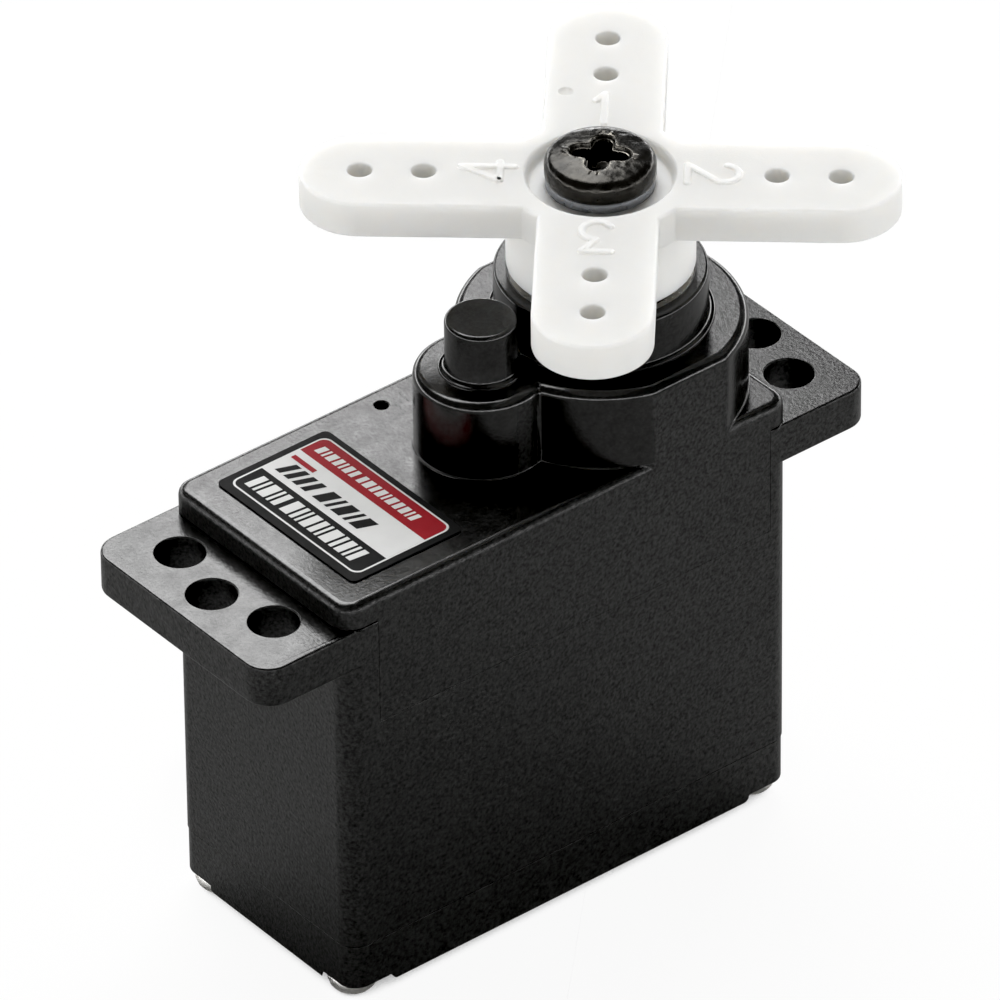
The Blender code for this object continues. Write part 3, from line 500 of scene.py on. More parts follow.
def black_oxide():
    """Blackened steel, rubbed to bare metal round the recess and the rim, and painted greyer on the flange
    below as a painted reflection of the white dish round it.
    """
    look = Look("black_oxide_steel")
    broad = look.noise(1.1, 4, 0.65)
    black = look.shade((0.017, 0.016, 0.014), 0.35, 2.0, broad)
    uneven = look.span(look.noise(1.8, 2, 0.5), 0.30, 0.60)
    rubbed = look.math("MULTIPLY", look.edges(0.26, 0.004, 0.16), uneven)
    colour = look.mix(rubbed, black, (0.24, 0.225, 0.195))
    # Painted reflection: the flange below the crown is painted a lighter blue-grey, standing in for the
    # white dish wall mirrored in the black metal.
    flange = look.span(look.place("Z"), 30.50, 30.56, 1.0, 0.0)
    colour = look.mix(look.math("MULTIPLY", flange, 0.60), colour, (0.42, 0.44, 0.48))
    rough = look.span(look.noise(2.0, 4, 0.6), 0.3, 0.7, 0.12, 0.34)
    pits = look.bump(look.noise(5.0, 3, 0.6), 0.010)
    normal = look.bump(look.noise(0.9, 2, 0.5), 0.120, pits)
    return look.finish(Base_Color=colour, Roughness=rough, Metallic=0.80, Normal=normal)


def circuit():
    """Green solder mask with copper tracks showing under it and bright pads."""
    look = Look("circuit_board")
    lanes = look.node(
        "ShaderNodeTexWave", {"Vector": look.mm, "Scale": 1.1, "Distortion": 7.0, "Detail": 1.0},
        wave_type="BANDS",
    ).outputs["Fac"]
    track = look.span(lanes, 0.55, 0.62)
    colour = look.mix(track, (0.012, 0.085, 0.030), (0.030, 0.190, 0.060))
    dots = look.node("ShaderNodeTexVoronoi", {"Vector": look.mm, "Scale": 0.75, "Randomness": 0.75})
    pad = look.span(dots.outputs["Distance"], 0.16, 0.19, 1.0, 0.0)
    colour = look.mix(pad, colour, (0.62, 0.61, 0.58))
    rough = look.span(look.noise(2.0, 3), 0.3, 0.7, 0.28, 0.40)
    normal = look.bump(look.math("ADD", track, pad), 0.02)
    return look.finish(Base_Color=colour, Roughness=rough, Metallic=pad, Normal=normal)


def winding():
    """Enamelled copper wire, laid in rows, with painted shade darkening the grooves between the turns."""
    look = Look("copper")
    turns = look.node(
        "ShaderNodeTexWave", {"Vector": look.mm, "Scale": 2.6, "Distortion": 0.15, "Detail": 1.0},
        wave_type="BANDS", bands_direction="Z",
    ).outputs["Fac"]
    colour = look.shade((0.66, 0.27, 0.12), 0.75, 1.15, look.noise(1.2, 3))
    # Painted shade: the colour is darkened in the troughs between the turns, where the grooves would lie in
    # shade.
    colour = look.mix(look.span(turns, 0.0, 0.35, 0.6, 0.0), colour, (0.16, 0.05, 0.03))
    rough = look.span(look.noise(3.0, 3), 0.3, 0.7, 0.26, 0.42)
    return look.finish(Base_Color=colour, Roughness=rough, Metallic=0.9, Normal=look.bump(turns, 0.03))


LOOKS = {
    "black_plastic": black_plastic(),
    "white_nylon": white_nylon(),
    "gear_nylon": plastic("gear_nylon", (0.74, 0.71, 0.60), 0.42, 0.05),
    "gear_carbonite": plastic(
        "gear_carbonite", (0.075, 0.075, 0.080), 0.40, 0.20, 10.0, 0.006, wear=(0.22, 0.22, 0.22)
    ),
    "black_oxide_steel": black_oxide(),
    "zinc_steel": metal("zinc_steel", (0.94, 0.93, 0.90), 0.34, dull=(0.60, 0.58, 0.52)),
    "polished_steel": metal("polished_steel", (0.66, 0.66, 0.66), 0.16, (1.0, 1.0, 6.0)),
    "can_steel": metal(
        "can_steel", (0.52, 0.52, 0.51), 0.30, (1.0, 1.0, 0.15), 6.0, dull=(0.34, 0.34, 0.33)
    ),
    "brass": metal("brass", (0.76, 0.55, 0.24), 0.28, (1.0, 1.0, 5.0), dull=(0.45, 0.30, 0.13)),
    "copper": winding(),
    "ferrite": plastic("ferrite", (0.050, 0.046, 0.046), 0.68, 0.25, 6.0, 0.012),
    "circuit_board": circuit(),
    "chip_epoxy": plastic("chip_epoxy", (0.022, 0.022, 0.024), 0.55, 0.2, 12.0, 0.005),
    "tantalum_case": plastic("tantalum_case", (0.78, 0.38, 0.05), 0.42, 0.08),
    "grommet_rubber": plastic(
        "grommet_rubber", (0.016, 0.016, 0.016), 0.62, 0.2, 9.0, 0.008, wear=(0.07, 0.07, 0.07)
    ),
    "wire_black": plastic("wire_black", (0.014, 0.014, 0.014), 0.46, 0.15, 5.0, 0.004),
    "wire_red": plastic("wire_red", (0.50, 0.018, 0.012), 0.44, 0.10, 5.0, 0.004),
    "wire_yellow": plastic("wire_yellow", (0.78, 0.50, 0.03), 0.44, 0.08, 5.0, 0.004),
    "phenolic": plastic("phenolic", (0.17, 0.085, 0.040), 0.55, 0.25, 4.0, 0.008),
    "label_film": plastic("label_film", (0.005, 0.005, 0.005), 0.50, 0.1, 3.0, 0.002, shine=0.08),
}
INK_RED = plastic("ink_red", (0.33, 0.010, 0.018), 0.50, 0.10, 12.0, 0.002, shine=0.10)
INK_WHITE = plastic("ink_white", (0.78, 0.78, 0.77), 0.50, 0.03, 12.0, 0.002, shine=0.20)


def dress_cad_nodes():
    """Each CAD piece that stays takes the look of its own slot."""
    for part in frame["record"]["subparts"]:
        shape = frame["nodes"][part["node"]]
        for held in shape.material_slots:
            held.material = LOOKS[part["material_slot"]]


# -------------------------------------------------------------------- case


def screw_places():
    return [(x, y) for x in SCREW_X for y in (-SCREW_Y, SCREW_Y)]


def case_outline(inset=0.0):
    return rounded_rect(
        CASE_X0 + inset, CASE_X1 - inset, -CASE_HALF + inset, CASE_HALF - inset, CASE_CORNER - inset, 14
    )


def corner_notch(x, y):
    """The cutter for the open pocket that a case screw's head sits in."""
    outer_x = x + math.copysign(3.0, x - (CASE_X0 + CASE_X1) / 2)
    outer_y = y + math.copysign(3.0, y)
    inner_x = x - math.copysign(1.15, outer_x - x)
    inner_y = y - math.copysign(0.50, outer_y - y)
    spans = sorted((inner_x, outer_x)) + sorted((inner_y, outer_y))
    outline = rounded_rect(*spans, 0.5)
    block = prism("notch", outline, -1.0, POCKET_ROOF)
    mouth = tapered("mouth", [(px - outer_x, py - outer_y) for px, py in outline], -0.10, 0.26, 1.07)
    mouth.data.transform(Matrix.Translation((outer_x, outer_y, 0.0)))
    return add(block, mouth, prism("round", circle(1.25, 48, (x, y)), -1.2, POCKET_ROOF))


def make_bottom_cover():
    cover = prism("cover_shell", case_outline(COVER_INSET), 0.0, COVER_TOP, bottom=0.22)
    lips = [
        box("lip", -15.70, 3.00, side - 0.265, side + 0.265, COVER_TOP - 1.0, 3.10)
        for side in (-4.685, 4.685)
    ]
    add(cover, *lips)
    tools = [
        box("long_well", -17.38, 4.62, -3.20, 3.20, COVER_FLOOR, 4.0),
        box("wide_well", -15.70, 3.00, -4.42, 4.42, COVER_FLOOR, 4.1),
    ]
    for place in screw_places():
        tools.append(corner_notch(*place))
        tools.append(prism("screw_hole", circle(SCREW_HOLE_RADIUS, 32, place), -0.5, 4.0))
    cut(cover, *tools)

    def share(middle):
        return 0.25 if middle.z > COVER_TOP - 0.1 else 1.0

    settle(cover, "case", "black_plastic", ["bottom_cover"], 0.06, 3, share=share)


def make_middle_case():
    low = COVER_TOP + COVER_SEAM
    case = prism("main_shell", case_outline(), low, EAR_TOP)
    ears = rounded_rect(EAR_X0, EAR_X1, -CASE_HALF, CASE_HALF, EAR_CORNER, 14)
    add(case, prism("ears", ears, EAR_LOW, EAR_TOP, top=0.12, bottom=0.12, segments=3))
    tools = [
        box("long_chamber", -17.38, 4.62, -3.25, 3.25, 1.0, DECK_LOW),
        box("wide_chamber", -15.90, 3.15, -INNER_HALF, INNER_HALF, 0.9, DECK_LOW),
        box("gear_room", -13.90, 0.35, -INNER_HALF, INNER_HALF, DECK_TOP, 20.0),
        prism("round_room", flatted_circle(5.15, INNER_HALF + 0.01), EAR_LOW, 20.5),
        prism("shaft_room", circle(4.70, 72), DECK_TOP, EAR_LOW + 0.5),
        prism("motor_nose_hole", circle(1.66, 48, (-11.90, 0.0)), 14.0, 16.0),
        prism("pot_bush_hole", circle(1.94, 48), 14.0, 16.0),
        prism("pin_seat", circle(0.78, 32, PIN_AXIS), 14.85, 16.0),
        box("lead_notch", 4.0, 7.0, -0.75, 0.75, 1.0, 5.80),
    ]
    for side in (-1, 1):
        y0, y1 = sorted((side * (INNER_HALF - GAP), side * 7.0))
        tools.append(box("skirt_slot", SKIRT_X0 - SEAM, SKIRT_X1 + SEAM, y0, y1, SKIRT_LOW - SEAM, 21.0))
    for place in screw_places():
        tools.append(prism("screw_hole", circle(SCREW_HOLE_RADIUS, 32, place), 1.0, 17.5))
        tools.append(prism("post_seat", circle(0.88, 32, place), EAR_LOW, 20.0))
    tools += [prism("ear_hole", circle(EAR_HOLE_RADIUS, 64, place), 16.0, 20.0) for place in EAR_HOLES]
    cut(case, *tools)

    def share(middle):
        by_skirt = SKIRT_X0 - 0.1 < middle.x < SKIRT_X1 + 0.1 and middle.z > SKIRT_LOW - 0.1
        return 0.3 if by_skirt or middle.z < low + 0.05 else 1.0

    settle(case, "case", "black_plastic", ["middle_case"], 0.05, share=share)


def make_top_case():
    """The gear cover: roof, skirts, tower, bearing collar and the cap over the gear pin."""
    plate_low, skirt_inside = EAR_TOP + GAP, INNER_HALF + GAP
    case = prism("gear_cover", case_outline(), SKIRT_LOW, ROOF_TOP, top=EDGE_ROUND)
    flare = [
        (PIN_CAP_RADIUS + 0.22, TOWER_TOP - 0.5), (PIN_CAP_RADIUS + 0.22, TOWER_TOP + 0.02),
        (PIN_CAP_RADIUS + 0.12, TOWER_TOP + 0.05), (PIN_CAP_RADIUS + 0.04, TOWER_TOP + 0.13),
        (PIN_CAP_RADIUS - 0.02, TOWER_TOP + 0.24),
    ]
    swell = [
        (COLLAR_RADIUS + 0.20, TOWER_TOP - 0.5), (COLLAR_RADIUS + 0.20, TOWER_TOP + 0.02),
        (COLLAR_RADIUS + 0.10, TOWER_TOP + 0.05), (COLLAR_RADIUS + 0.03, TOWER_TOP + 0.12),
        (COLLAR_RADIUS - 0.02, TOWER_TOP + 0.22),
    ]
    add(
        case,
        prism("tower", flatted_circle(TOWER_RADIUS, CASE_HALF), SKIRT_LOW + 2.0, TOWER_TOP, top=EDGE_ROUND),
        prism("boss", circle(BOSS_RADIUS, 96, PIN_AXIS), ROOF_TOP - 0.5, TOWER_TOP, top=EDGE_ROUND),
        prism("collar", circle(COLLAR_RADIUS, 120), 22.0, COLLAR_TOP, top=0.15, segments=3),
        prism("pin_cap", circle(PIN_CAP_RADIUS, 72, PIN_AXIS), 22.1, PIN_CAP_TOP, top=0.20, segments=4),
        turned_solid("flare", PIN_AXIS, flare, 72),
        turned_solid("swell", (0.0, 0.0), swell, 120),
    )
    cut(
        case,
        box("left_end", -20.0, SKIRT_X0, -8.0, 8.0, 12.0, plate_low),
        box("right_end", SKIRT_X1, 12.0, -8.0, 8.0, 12.0, plate_low),
        box("between", SKIRT_X0 - 0.5, SKIRT_X1 + 0.5, -skirt_inside, skirt_inside, 11.0, plate_low),
    )
    posts = [
        prism("post", circle(0.84, 32, place), EAR_LOW + 0.03, EAR_TOP + 0.6) for place in screw_places()
    ]
    add(case, *posts)
    tools = [
        box("wheel_recess", -12.2, 0.25, -INNER_HALF, INNER_HALF, 18.0, 19.25),
        prism("tower_room", flatted_circle(5.20, INNER_HALF + 0.01), 18.1, 22.80),
        prism("boss_room", circle(2.15, 64, PIN_AXIS), 18.2, 22.80),
        prism("pin_seat", circle(0.78, 32, PIN_AXIS), 22.0, 25.40),
        prism("shaft_hole", circle(2.95, 72), 22.0, 26.5),
        prism("bearing_seat", circle(3.87, 96), 23.92, 27.0),
        prism("vent", circle(0.30, 24, (-8.00, 4.60)), 18.5, 21.0),
    ]
    tools += [prism("thread_hole", circle(0.61, 24, place), 16.0, 19.55) for place in screw_places()]
    cut(case, *tools)

    def share(middle):
        return 0.25 if middle.z < EAR_TOP and abs(middle.y) > INNER_HALF else 1.0

    settle(case, "case", "black_plastic", ["top_case"], 0.06, share=share)


def make_case_screws():
    ends = ("left_front", "left_rear", "right_front", "right_rear")
    for end, place in zip(ends, screw_places()):
        seat = POCKET_ROOF - 0.01
        dome = [
            (0.02, -0.42), (0.34, -0.405), (0.62, -0.35), (0.84, -0.24),
            (0.97, -0.08), (1.04, 0.12), (1.04, 0.30),
        ]
        profile = dome + [(1.00, seat), (0.58, seat), (0.58, 19.10), (0.30, 19.40)]
        head = turned_solid("screw_" + end, place, profile, 64)
        x, y = place
        cross = box("cross_a", x - 0.55, x + 0.55, y - 0.12, y + 0.12, -1.0, -0.02)
        add(cross, box("cross_b", x - 0.12, x + 0.12, y - 0.55, y + 0.55, -1.1, -0.02))
        there, back = Matrix.Translation((x, y, 0)), Matrix.Translation((-x, -y, 0))
        cross.data.transform(there @ Matrix.Rotation(0.4 + x + y, 4, "Z") @ back)
        cut(head, cross)
        settle(head, "case", "zinc_steel", ["case_screw_" + end])


def make_label():
    """A printed film: a black frame, a thin light line, and three bands with plain bars for wording."""
    x0, x1, y0, y1 = LABEL_BOX
    film_low, film_top, ink = ROOF_TOP + 0.01, ROOF_TOP + 0.08, 0.003
    film = prism("label_print", rounded_rect(x0, x1, y0, y1, 0.30, 8), film_low, film_top)
    film.data.materials.append(LOOKS["label_film"])
    film.data.materials.append(INK_RED)
    film.data.materials.append(INK_WHITE)

    def printed(outline, level, index):
        patch = prism("ink", outline, film_top - 0.01, film_top + level * ink)
        for face in patch.data.polygons:
            face.material_index = index
        return patch

    def plain(low, high, start, stop, level, index, lean=0.0):
        outline = [(low, start), (high, start - lean), (high, stop - lean), (low, stop)]
        return printed(outline, level, index)

    inner = (x0 + 0.42, x1 - 0.30, y0 + 0.34, y1 - 0.34)
    edge = (inner[0] + 0.09, inner[1] - 0.09, inner[2] + 0.09, inner[3] - 0.09)
    red_x, white_x = inner[1] - 1.42, inner[0] + 1.66
    patches = [
        printed(rounded_rect(*inner, 0.42, 8), 1, 2),
        printed(rounded_rect(*edge, 0.36, 8), 2, 0),
        printed(rounded_rect(red_x, *edge[1:], 0.36, 8), 3, 1),
        plain(red_x - 0.02, red_x + 0.40, edge[3], edge[2], 3.5, 1),
        plain(white_x, red_x, edge[3], edge[2], 4, 2),
    ]
    # Plain dashes and bars stand where a maker's wording would be. Each row has its two edges, its
    # ink, the gap and lean of its bars, and their widths; a nought is a wider space.
    rows = (
        (red_x + 0.40, inner[1] - 0.50, 2, 0.13, 0.08, (
            0.30, 0.12, 0.34, 0.26, 0.12, 0.30, 0.24, 0,
            0.26, 0.34, 0.22, 0.30, 0.12, 0.34, 0.26, 0.30, 0.12, 0.24,
        )),
        (inner[0] + 0.42, white_x - 0.30, 2, 0.15, 0.10, (
            0.34, 0.14, 0.46, 0.14, 0.30, 0,
            0.48, 0.20, 0.14, 0.40, 0.30, 0.14, 0.52, 0.20, 0.36, 0.14, 0.30,
        )),
        (white_x + 0.34, red_x - 0.78, 0, 0.22, 0.34, (
            0.34, 0.34, 0.34, 0.34, 0, 0.56, 0.20, 0.56, 0.20, 0.56,
        )),
    )
    for row, (low, high, index, gap, lean, widths) in enumerate(rows):
        y = inner[3] - 0.50
        for width in widths:
            if width:
                patches.append(plain(low, high, y, y - width, 5 + row, index, lean))
            y -= width + gap
    patches.append(plain(red_x - 0.62, red_x - 0.38, inner[3] - 0.26, inner[3] - 1.70, 8, 1))
    joined(film, *patches)
    settle(film, "case", "label_film", ["label"])


# -------------------------------------------------------------------- horn


def arm_direction(index):
    return HORN_TURN + index * math.pi / 2


def on_arm(index, along, across):
    """A point on an arm's top, along it and to its right as seen from its tip's side upright."""
    angle = arm_direction(index)
    c, s = math.cos(angle), math.sin(angle)
    return (along * c + across * s, along * s - across * c)


def horn_outline():
    """Four round-ended arms, with the hub's edge showing between them."""
    hub = HUB_RADIUS + 0.04
    corner = math.atan2(ARM_HALF, math.sqrt(hub * hub - ARM_HALF * ARM_HALF))
    arm = arc((ARM_TIP - ARM_HALF, 0), ARM_HALF, -math.pi / 2, math.pi / 2, 49)
    between = arc((0, 0), hub, corner, math.pi / 2 - corner, 9)
    return [p for i in range(4) for p in turned(arm + between, i * math.pi / 2)]


def spline_outline():
    points = []
    tooth = ((SPLINE_ROOT, -0.32), (SPLINE_TIP, -0.14), (SPLINE_TIP, 0.14), (SPLINE_ROOT, 0.32))
    for i in range(SPLINE_TEETH):
        for radius, share in tooth:
            angle = 2 * math.pi * (i + share) / SPLINE_TEETH
            points.append((radius * math.cos(angle), radius * math.sin(angle)))
    return points


DIGITS = {
    "1": [[(0.02, 1.08), (0.02, -1.08)], [(-0.36, 0.58), (0.02, 1.08)]],
    "2": [
        arc((0.0, 0.48), 0.60, math.radians(170), math.radians(-28), 14),
        [(0.53, 0.20), (-0.62, -1.05)], [(-0.62, -1.05), (0.66, -1.05)],
    ],
    "3": [
        [(-0.60, 1.05), (0.60, 1.05)], [(0.60, 1.05), (0.02, 0.22)],
        arc((0.0, -0.42), 0.64, math.radians(88), math.radians(-150), 16),
    ],
    "4": [[(0.66, -0.50), (-0.66, -0.50)], [(-0.66, -0.50), (0.30, 1.08)], [(0.32, 1.10), (0.32, -1.10)]],
}


def stroke_outline(path, half):
    """The outline of a round-ended stroke along a smooth path."""
    points = [Vector(p) for p in path]
    ways = [(b - a).normalized() for a, b in zip(points, points[1:])]
    ways = [ways[0]] + [(a + b).normalized() for a, b in zip(ways, ways[1:])] + [ways[-1]]
    left = [p + Vector((-w.y, w.x)) * half for p, w in zip(points, ways)]
    right = [p - Vector((-w.y, w.x)) * half for p, w in zip(points, ways)]

    def cap(centre, way):
        start = math.atan2(way.y, way.x) + math.pi / 2
        return arc(tuple(centre), half, start, start - math.pi, 7)[1:-1]

    return (
        [tuple(p) for p in left] + cap(points[-1], ways[-1])
        + [tuple(p) for p in reversed(right)] + cap(points[0], -ways[0])
    )


def make_digit(text, index):
    """A raised numeral whose top points out along its arm."""
    strokes = []
    for path in DIGITS[text]:
        outline = [on_arm(index, DIGIT_REACH + v, u) for u, v in stroke_outline(path, STROKE_HALF)]
        strokes.append(prism("stroke", outline, HORN_TOP - 0.10, HORN_TOP + 0.10, top=0.06, segments=2))
    return strokes


def make_horn():
    arms = turned(horn_outline(), HORN_TURN)
    horn = prism("horn_arms", arms, ARM_LOW, HORN_TOP, top=0.14, bottom=0.10, segments=3)
    middle = (ARM_LOW + HORN_TOP) / 2
    add(horn, prism("hub", circle(HUB_RADIUS - 0.05, 120), HORN_LOW, middle, bottom=0.12, segments=3))
    dish = [
        (DISH_RADIUS - 0.10, DISH_FLOOR), (DISH_RADIUS, DISH_FLOOR + 0.10),
        (DISH_RADIUS + 0.04, HORN_TOP - 0.14), (DISH_RADIUS + 0.15, HORN_TOP + 0.01),
        (DISH_RADIUS + 0.15, 32.0),
    ]
    tools = [
        prism("socket", spline_outline(), 25.0, 29.40),
        prism("screw_hole", circle(1.10, 48), 26.0, 31.0),
        turned_solid("dish", (0.0, 0.0), dish, 120),
    ]
    bore = [(0.50, 28.0), (0.50, HORN_TOP - 0.06), (0.56, HORN_TOP + 0.01), (0.56, 32.5)]
    for index in range(4):
        for reach in HORN_HOLES:
            tools.append(turned_solid("arm_hole", on_arm(index, reach, 0.0), bore, 40))
    cut(horn, *tools)
    dimple = [(0.10, HORN_TOP - 0.10), (0.26, HORN_TOP - 0.06), (0.34, HORN_TOP + 0.02), (0.34, 31.5)]
    cut(horn, turned_solid("gate_mark", on_arm(1, 5.91, -1.62), dimple, 32))
    beads = []
    for text, index in (("2", 0), ("1", 1), ("4", 2), ("3", 3)):
        beads += make_digit(text, index)
    add(horn, *beads)
    settle(horn, "output", "white_nylon", ["horn"], 0.03, 1)


def make_horn_screw():
    top = SCREW_BOX[1].z
    shank = [(0.55, 24.75), (0.75, 25.05), (0.75, DISH_FLOOR + 0.02)]
    flange = [(2.26, DISH_FLOOR + 0.02), (2.28, 30.14), (2.28, 30.48), (2.25, 30.53)]
    side = [(2.30, 30.60), (2.32, 30.68), (2.32, 31.06), (2.30, 31.20), (2.24, 31.34), (2.14, 31.45)]
    crown = [
        (2.06, 31.50), (1.96, 31.53), (1.70, 31.58), (1.35, 31.62), (0.90, 31.65), (0.40, top), (0.01, top),
    ]
    profile = shank + flange + side + crown
    screw = turned_solid("screw_head", (0.0, 0.0), profile, 120)
    outline = []
    for i in range(4):
        flank = [(0.58, -0.53), (0.72, -0.50), (0.92, -0.49)]
        tip = arc((0.90, 0.0), 0.49, -1.35, 1.35, 9)
        outline += turned(flank + tip + [(x, -y) for x, y in reversed(flank)], i * math.pi / 2)
    tools = [
        tapered("cross", outline, 30.62, 31.95, 0.58),
        tapered("rim", [(x * 1.12, y * 1.12) for x, y in outline], 31.46, 31.84, 0.78),
    ]
    for tool in tools:
        tool.data.transform(Matrix.Rotation(HORN_TURN - math.radians(8.5), 4, "Z"))
    cut(screw, *tools)
    settle(screw, "output", "black_oxide_steel", ["horn_screw"], 0.035, 2)


# -------------------------------------------------------------------- lead


def smooth_path(corners, count=10):
    """A path through corners, with each bend eased over a short run."""
    points = [Vector(c) for c in corners]
    out = [points[0]]
    for before, at, after in zip(points, points[1:], points[2:]):
        back, on = (before - at), (after - at)
        cutoff = min(WIRE_BEND, back.length * 0.45, on.length * 0.45)
        a, b = at + back.normalized() * cutoff, at + on.normalized() * cutoff
        for i in range(count + 1):
            t = i / count
            out.append(a * (1 - t) ** 2 + at * 2 * t * (1 - t) + b * t ** 2)
    out.append(points[-1])
    return [tuple(p) for p in out]


def lead_corners(start, level, height, fan):
    return [
        (start, 0.0, COVER_TOP - 0.42), (start, 0.0, level), (8.1, 0.0, level),
        (8.3, 4.0, (level + height) / 2), (7.9, 8.4, height), (4.0, 8.4, height),
        (-9.6, 8.4, height), (-10.9, 9.3, height), (-9.6, 10.2, height),
        (5.6, 10.2, height), (6.9, 11.1, height), (5.6, 12.0, height),
        (5.0, 12.0, height), (2.5, 12.0, height + fan), (1.2, 12.0, height + fan),
    ]


def make_lead():
    levels = [LOWEST_WIRE + i * WIRE_PITCH for i in range(3)]
    relief = prism("lead_grommet", rounded_rect(4.05, 4.59, -1.40, 1.40, 0.20, 5), 2.70, 6.30)
    neck = [(4.4, -0.72), (5.7, -0.72), (5.7, 0.72), (4.4, 0.72)]
    flange = rounded_rect(5.47, 6.20, -1.25, 1.25, 0.25, 6)
    tail = rounded_rect(6.0, 6.9, -0.70, 0.70, 0.20, 5)
    add(
        relief,
        prism("neck", neck, 2.60, 5.76),
        prism("flange", flange, 2.20, 6.20, top=0.18, bottom=0.18, segments=3),
        prism("tail", tail, 2.65, 5.72, top=0.12, bottom=0.12, segments=3),
    )
    passages = [
        tube("passage", [(3.0, 0.0, level), (9.0, 0.0, level)], WIRE_RADIUS + 0.05) for level in levels
    ]
    cut(relief, *passages)
    settle(relief, "case", "grommet_rubber", ["strain_relief"], 0.05)
    ends = (("ground", "wire_black"), ("power", "wire_red"), ("signal", "wire_yellow"))
    for i, (name, slot) in enumerate(ends):
        height = RESTING_WIRE + i * WIRE_PITCH
        target = PLUG_MIDDLE + (i - 1) * PLUG_PITCH
        corners = lead_corners(1.6 - 1.2 * i, levels[i], height, target - height)
        wire = tube("wire_" + name, smooth_path(corners), WIRE_RADIUS)
        settle(wire, "case", slot, ["lead_wire_" + name])
    make_plug()


def make_plug():
    """The three-way socket housing, standing on its narrow side, with its latch windows and ribs."""
    outline = rounded_rect(PLUG_X0, PLUG_X1, PLUG_Y0, PLUG_Y1, 0.18, 5)
    low, high = PLUG_MIDDLE - PLUG_HALF_HEIGHT, PLUG_MIDDLE + PLUG_HALF_HEIGHT
    body = prism("plug_body", outline, low, high, top=0.18, bottom=0.18, segments=3)
    tools = []
    for i in (-1, 0, 1):
        z = PLUG_MIDDLE + i * PLUG_PITCH
        tools.append(box("cell", -11.2, 2.4, 11.45, 12.55, z - 0.55, z + 0.55))
        tools.append(box("mouth", -12.6, -10.6, 11.62, 12.38, z - 0.38, z + 0.38))
        tools.append(box("latch_window", -8.6, -6.4, 12.9, 13.6, z - 0.62, z + 0.62))
    tools += [box("groove", -1.0 + step, -0.6 + step, 10.0, 10.88, -1.0, 8.0) for step in (0.0, 0.8, 1.6)]
    cut(body, *tools)
    settle(body, "case", "grommet_rubber", ["plug_housing"], 0.05)


# --------------------------------------------------- floor, light and camera


def make_stage():
    """A plain pale floor, shown nearly free of shadow by a glow that fades out beneath the object."""
    bm = bmesh.new()
    bmesh.ops.create_grid(bm, x_segments=1, y_segments=1, size=3.0)
    floor = to_object("floor", bm)
    floor.location.z = SCREW_FOOT * MM - 0.00002
    look = Look("floor_paper")
    ray = look.node("ShaderNodeLightPath").outputs
    seen, mirrored = ray["Is Camera Ray"], ray["Is Glossy Ray"]
    grey = look.blend(mirrored, FLOOR_GREY, FLOOR_IN_REFLECTIONS)
    grey = look.blend(seen, grey, 1.0 - FLOOR_GLOW)
    blue = look.math("MULTIPLY", grey, 0.99)
    tone = look.node("ShaderNodeCombineColor", {"Red": grey, "Green": grey, "Blue": blue})
    paper = look.node("ShaderNodeBsdfDiffuse", {"Color": tone.outputs[0]})
    open_sky = look.node("ShaderNodeAmbientOcclusion", {"Distance": 1.5 * MM}, samples=8).outputs["AO"]
    lit = look.math("MULTIPLY", seen, look.span(open_sky, GLOW_BEGINS, GLOW_FULL, 0.0, FLOOR_GLOW))
    glow = look.node("ShaderNodeEmission", {"Strength": lit})
    both = look.node("ShaderNodeAddShader", {0: paper.outputs[0], 1: glow.outputs[0]})
    look.node("ShaderNodeOutputMaterial", {"Surface": both.outputs[0]})
    floor.data.materials.append(look.material)


def panel(name, towards, distance, width, height, radiance):
    """A soft rectangular light that faces the object; its distance and sizes are in metres."""
    data = bpy.data.lights.new(name, "AREA")
    data.shape = "RECTANGLE"
    data.size, data.size_y = width, height
    data.energy = radiance * math.pi * width * height
    lamp = bpy.data.objects.new(name, data)
    bpy.context.scene.collection.objects.link(lamp)
    way = Vector(towards).normalized()
    lamp.location = Vector(AIM) + way * distance
    lamp.rotation_euler = way.to_track_quat("Z", "Y").to_euler()
    return lamp


def on_sky(azimuth, elevation):
    """The way to a point on the sky, from angles in degrees."""
    a, e = math.radians(azimuth), math.radians(elevation)
    return (math.cos(a) * math.cos(e), math.sin(a) * math.cos(e), math.sin(e))


def only_lights(lamp, state):
    """Makes a light reach the black shells and the horn's screw only, or everything but those."""
    reach = bpy.data.collections.new(lamp.name + "_reach")
    lamp.light_linking.receiver_collection = reach
    for name in BLACK_PIECES:
        reach.objects.link(bpy.data.objects[name])
    for held in reach.collection_objects:
        held.light_linking.link_state = state


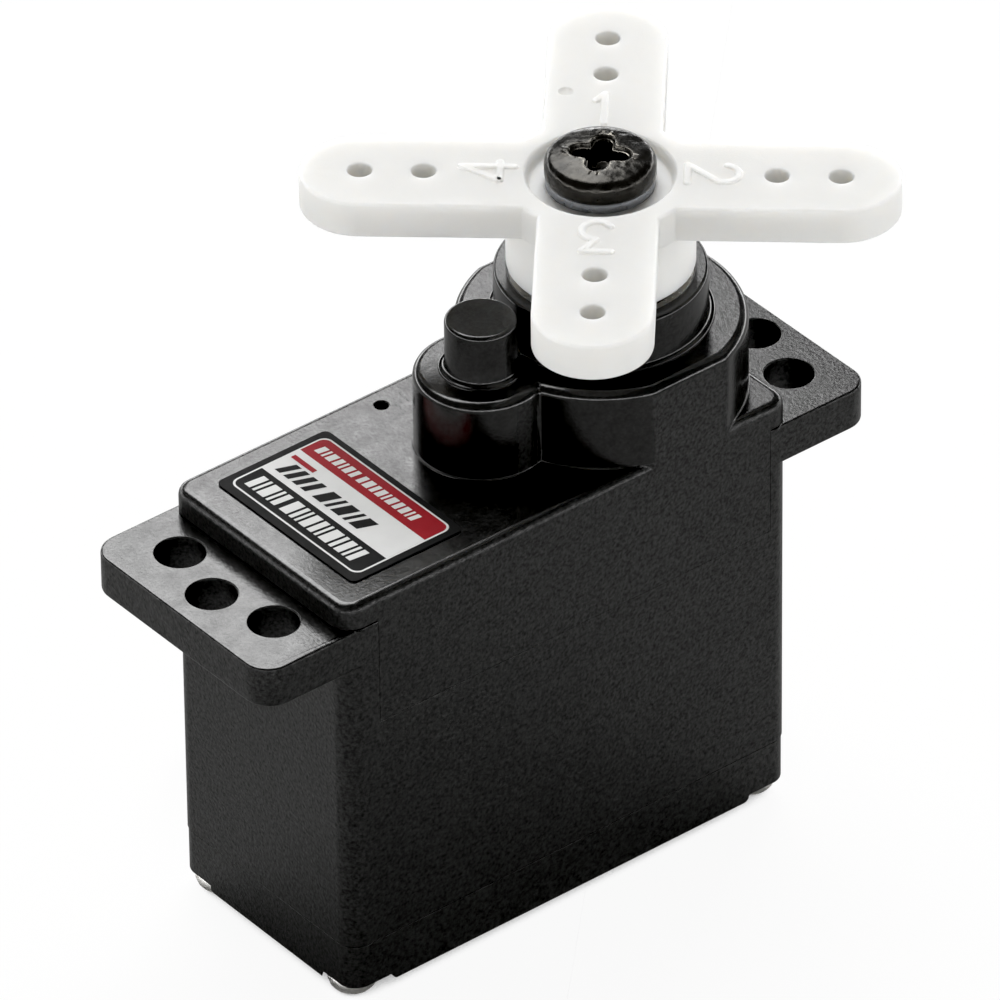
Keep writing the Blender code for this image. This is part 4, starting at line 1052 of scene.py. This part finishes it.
def make_lights():
    """Two softboxes above and behind, and a bright low ring of white walls all round a dim room.

    One softbox is mirrored in the tops of the black pieces; the other lights everything else.
    """
    world = bpy.data.worlds.new("studio")
    world.use_nodes = True
    tree = world.node_tree
    background = tree.nodes["Background"]
    background.inputs["Color"].default_value = (1.0, 1.0, 1.0, 1.0)
    seen = new_node(tree, "ShaderNodeLightPath").outputs["Is Camera Ray"]
    way = new_node(tree, "ShaderNodeTexCoord").outputs["Generated"]
    height = new_node(tree, "ShaderNodeSeparateXYZ", {0: way}).outputs["Z"]

    def span(value, low, high, out_low, out_high):
        settings = {
            "Value": value, "From Min": low, "From Max": high, "To Min": out_low, "To Max": out_high,
        }
        made = new_node(tree, "ShaderNodeMapRange", settings, interpolation_type="SMOOTHSTEP")
        return made.outputs["Result"]

    ring = span(height, RING_TOP, RING_TOP + RING_FADE, RING_LIGHT, ROOM_LIGHT)
    tree.links.new(span(seen, 0.0, 1.0, ring, 1.0), background.inputs["Strength"])
    bpy.context.scene.world = world
    back = panel("back_panel", on_sky(72.0, 55.5), 0.60, 0.40, 0.46, 8.8)
    key = panel("key_panel", on_sky(53.0, 56.0), 0.55, 0.40, 0.40, 7.0)
    only_lights(back, "INCLUDE")
    only_lights(key, "EXCLUDE")


def make_camera():
    """A long lens from the front left, 36 degrees above the floor."""
    azimuth, elevation, roll = [math.radians(a) for a in (VIEW_AZIMUTH, VIEW_ELEVATION, VIEW_ROLL)]
    right = Vector((math.cos(azimuth), math.sin(azimuth), 0.0))
    level_back = Vector((math.sin(azimuth), -math.cos(azimuth), 0.0))
    back = level_back * math.cos(elevation) + Vector((0.0, 0.0, math.sin(elevation)))
    up = back.cross(right)
    rolled_right = right * math.cos(roll) + up * math.sin(roll)
    rolled_up = up * math.cos(roll) - right * math.sin(roll)
    data = bpy.data.cameras.new("camera")
    data.lens, data.sensor_width = LENS, SENSOR
    data.clip_start, data.clip_end = 0.01, 20.0
    camera = bpy.data.objects.new("camera", data)
    bpy.context.scene.collection.objects.link(camera)
    turn = Matrix((rolled_right, rolled_up, back)).transposed()
    camera.matrix_world = Matrix.Translation(Vector(EYE) * MM) @ turn.to_4x4()
    bpy.context.scene.camera = camera


def main():
    dress_cad_nodes()
    make_bottom_cover()
    make_middle_case()
    make_top_case()
    make_case_screws()
    make_label()
    make_horn()
    make_horn_screw()
    make_lead()
    make_stage()
    make_lights()
    make_camera()
    view = bpy.context.scene.view_settings
    view.view_transform = "Standard"
    view.look = "None"
    view.exposure = 0.0
    view.use_curve_mapping = True
    view.curve_mapping.black_level = (0.005, 0.005, 0.005)


main()
